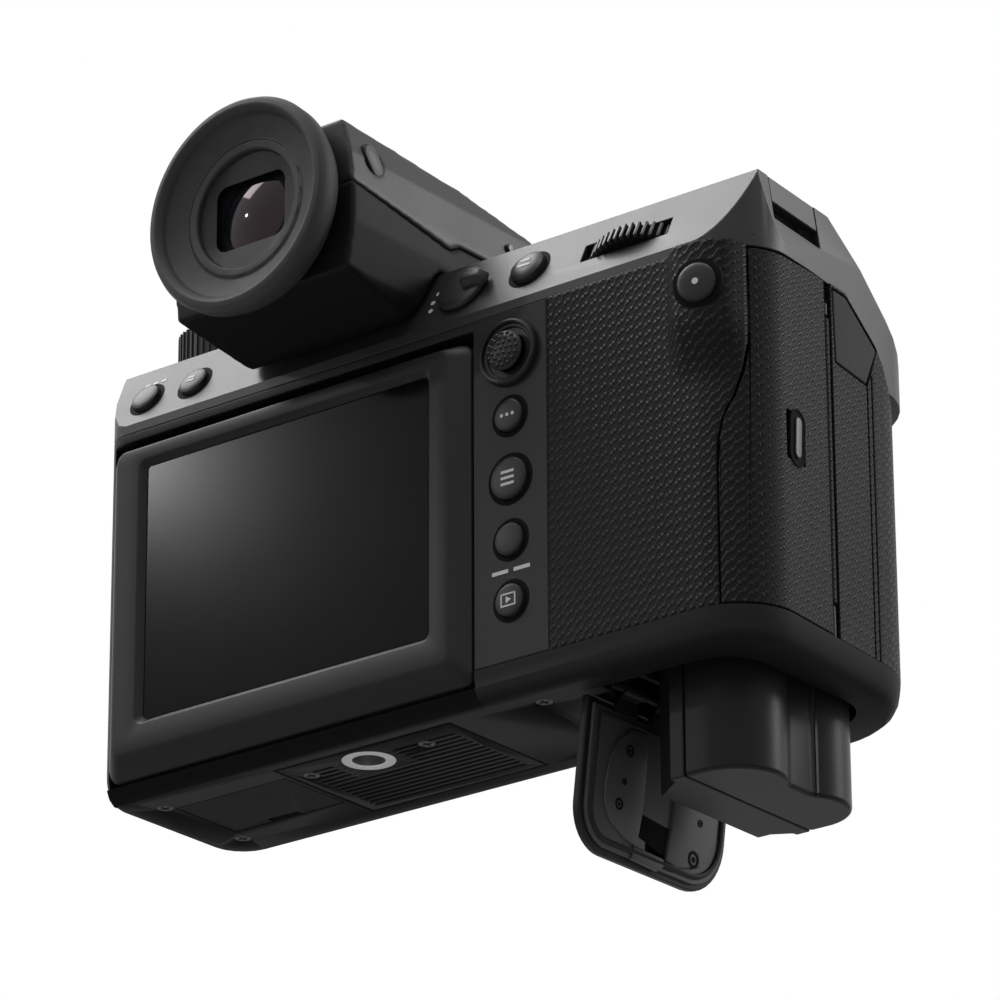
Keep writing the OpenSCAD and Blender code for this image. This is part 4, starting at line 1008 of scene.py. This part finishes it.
# %% Seal of the battery door
HINGE = Vector((54.0, 0.0, 2.6))
DOOR_SWING = Matrix.Rotation(math.radians(97), 4, "Y")
OPEN = Matrix.Translation(HINGE) @ DOOR_SWING @ Matrix.Translation(-HINGE)
INSIDE = 2.2
DOOR_X = (57.2, 84.3)
DOOR_Y = (-4.0, 38.6)
DOOR_CORNERS = ((DOOR_X[1] - 8, DOOR_Y[0] + 8, 8, -90), (DOOR_X[1] - 10.5, DOOR_Y[1] - 10.5, 10.5, 0))
BEAD = ((-1.9, -0.1), (-2.1, 0.45), (-2.5, 0.6), (-2.9, 0.45), (-3.1, -0.1))


def swung(mesh):
    """Swings a shape drawn on the shut door to the door's place at rest."""
    bmesh.ops.transform(mesh, matrix=Matrix.Scale(MM, 4) @ OPEN, verts=mesh.verts)
    return mesh


def on_door(mesh, name, finish):
    """A piece that rides on the open door."""
    piece(swung(mesh), name, "door", finish)


def door_loop(mesh, grow, height):
    """The door's outline with two round corners, drawn in by -grow, as an edge loop."""
    points = [(DOOR_X[0] - grow, DOOR_Y[1] + grow), (DOOR_X[0] - grow, DOOR_Y[0] - grow)]
    for cx, cy, radius, start in DOOR_CORNERS:
        for step in range(9):
            turn = math.radians(start + 90 * step / 8)
            reach = radius + grow
            points.append((cx + reach * math.cos(turn), cy + reach * math.sin(turn)))
    made = [mesh.verts.new((x, y, height)) for x, y in points]
    return [mesh.edges.new((a, b)) for a, b in zip(made, made[1:] + made[:1])]


bead = bmesh.new()
bridged(bead, [door_loop(bead, grow, INSIDE + height) for grow, height in BEAD])
bmesh.ops.recalc_face_normals(bead, faces=bead.faces)
on_door(bead, "door_seal", rubber)
print("door seal made")

# %% [markdown]
# On the door's inside lie two raised plates, with the latch's window between them. Each
# plate is one outline, pushed up and rounded along its top edge.

# %% Plates, window and latch of the door
LEFT_PLATE = [(60.0, 12.9), (60.5, 8.0), (63.0, 4.6), (66.5, 2.6), (71.3, 1.7), (75.0, 1.8), (78.0, 3.8),
              (80.1, 8.2), (80.7, 11.4), (78.7, 12.3), (74.5, 12.9), (66.5, 13.0)]
RIGHT_PLATE = [(60.5, 22.0), (75.1, 21.4), (81.0, 20.6), (81.6, 24.0), (79.8, 30.5), (74.0, 34.6),
               (60.5, 35.2)]
WINDOW = [(74.5, 13.1), (78.7, 12.5), (80.4, 20.4), (75.1, 21.2)]
LATCH = [(80.7, 11.2), (83.2, 10.8), (83.5, 18.6), (82.2, 20.2), (80.9, 19.9)]


def raised(points, base, height, rounding):
    """A plate of a given outline, in mm, with its top edge rounded."""
    mesh = bmesh.new()
    face = mesh.faces.new([mesh.verts.new((x, y, base)) for x, y in points])
    top = moved_verts(bmesh.ops.extrude_face_region(mesh, geom=[face])["geom"])
    bmesh.ops.translate(mesh, vec=(0, 0, height), verts=top)
    bmesh.ops.recalc_face_normals(mesh, faces=mesh.faces)
    round_over(mesh, [edge for edge in mesh.edges if all(v in top for v in edge.verts)], rounding, 3)
    return mesh


on_door(raised(LEFT_PLATE, INSIDE - 0.2, 0.7, 0.35), "door_left_plate", door_plastic_painted_light)
on_door(raised(RIGHT_PLATE, INSIDE - 0.2, 0.7, 0.3), "door_right_plate", door_plastic_painted_light)
# The window is a thin near-black plate: painted shade for the opening.
on_door(raised(WINDOW, INSIDE - 0.2, 0.23, 0.02), "door_window", shadow_and_black)
hook_mesh = swung(raised(LATCH, INSIDE - 0.4, 0.9, 0.3))
latch_hook = piece(hook_mesh, "door_latch_hook", BODY_OF["door_latch"], door_plastic_painted_light)
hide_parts("door_latch")
print("door plates made")

# %% [markdown]
# Small round screws hold the plates. Each has a raised rim, a dark ring and a small centre.

# %% Screws of the door
SCREWS = ((64.5, 7.7, 1.1), (74.6, 5.9, 1.1), (70.3, 6.8, 0.6), (78.9, 28.3, 1.6), (72.0, 29.4, 0.7))
PLATE_TOP = INSIDE + 0.5


def screw_section(radius):
    """Half the section of a screw head."""
    return [(0, 0.1), (radius * 0.3, 0.1), (radius * 0.35, -0.05), (radius * 0.6, -0.05),
            (radius * 0.65, 0.12), (radius * 0.95, 0.12), (radius, 0.02), (radius, -0.5), (0, -0.5)]


for number, (x, y, radius) in enumerate(SCREWS):
    head = revolved(screw_section(radius), 24)
    bmesh.ops.translate(head, vec=(x, y, PLATE_TOP), verts=head.verts)
    on_door(head, "door_screw_%d" % number, shadow_and_black)
print("door screws", len(SCREWS))

# %% [markdown]
# The card door's latch lies in an oblong recess with a rounded rim, drawn near black as painted
# shade in the recess. Both are stacks of oblongs, each a radius, half length and level, bridged and closed.

# %% Card latch
LATCH_AT = (93.84, 2.3, 38.9)
SIDE_OUT = (math.cos(SIDE_TURN), math.sin(SIDE_TURN), 0)
RECESS = [(2.5, 3.0, -0.6), (2.5, 3.0, 0.12), (2.35, 3.0, 0.2), (2.1, 3.0, 0.16), (1.95, 3.0, 0.03)]
LATCH_BAR = [(1.0, 2.9, -0.6), (1.0, 2.9, 0.25), (0.85, 2.9, 0.4), (0.5, 2.9, 0.42)]


def oblong(mesh, radius, half, level):
    """An edge loop in the shape of a stretched circle, long in Y."""
    loop = bmesh.ops.create_circle(mesh, cap_ends=False, radius=radius, segments=32)["verts"]
    for vert in loop:
        vert.co.y += math.copysign(half, vert.co.y) if abs(vert.co.y) > 0.01 else half
        vert.co.z = level
    return list({edge for vert in loop for edge in vert.link_edges})


def on_side(levels, name, body, finish):
    """A closed stack of oblongs on the grip's side, long axis upright."""
    mesh = bmesh.new()
    bridged(mesh, [oblong(mesh, *values) for values in levels])
    closed(mesh)
    bmesh.ops.rotate(mesh, verts=mesh.verts, cent=(0, 0, 0), matrix=Matrix.Rotation(math.pi / 2, 3, "Z"))
    set_up(mesh, LATCH_AT, SIDE_OUT)
    return piece(mesh, name, body, finish)


# The recess is near black: painted shade.
recess = on_side(RECESS, "card_latch_recess", BODY_OF["card_door"], shadow_and_black)
latch_bar = on_side(LATCH_BAR, "card_latch_bar", BODY_OF["card_latch"], coated)
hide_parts("card_latch")
print("card latch at", LATCH_AT)
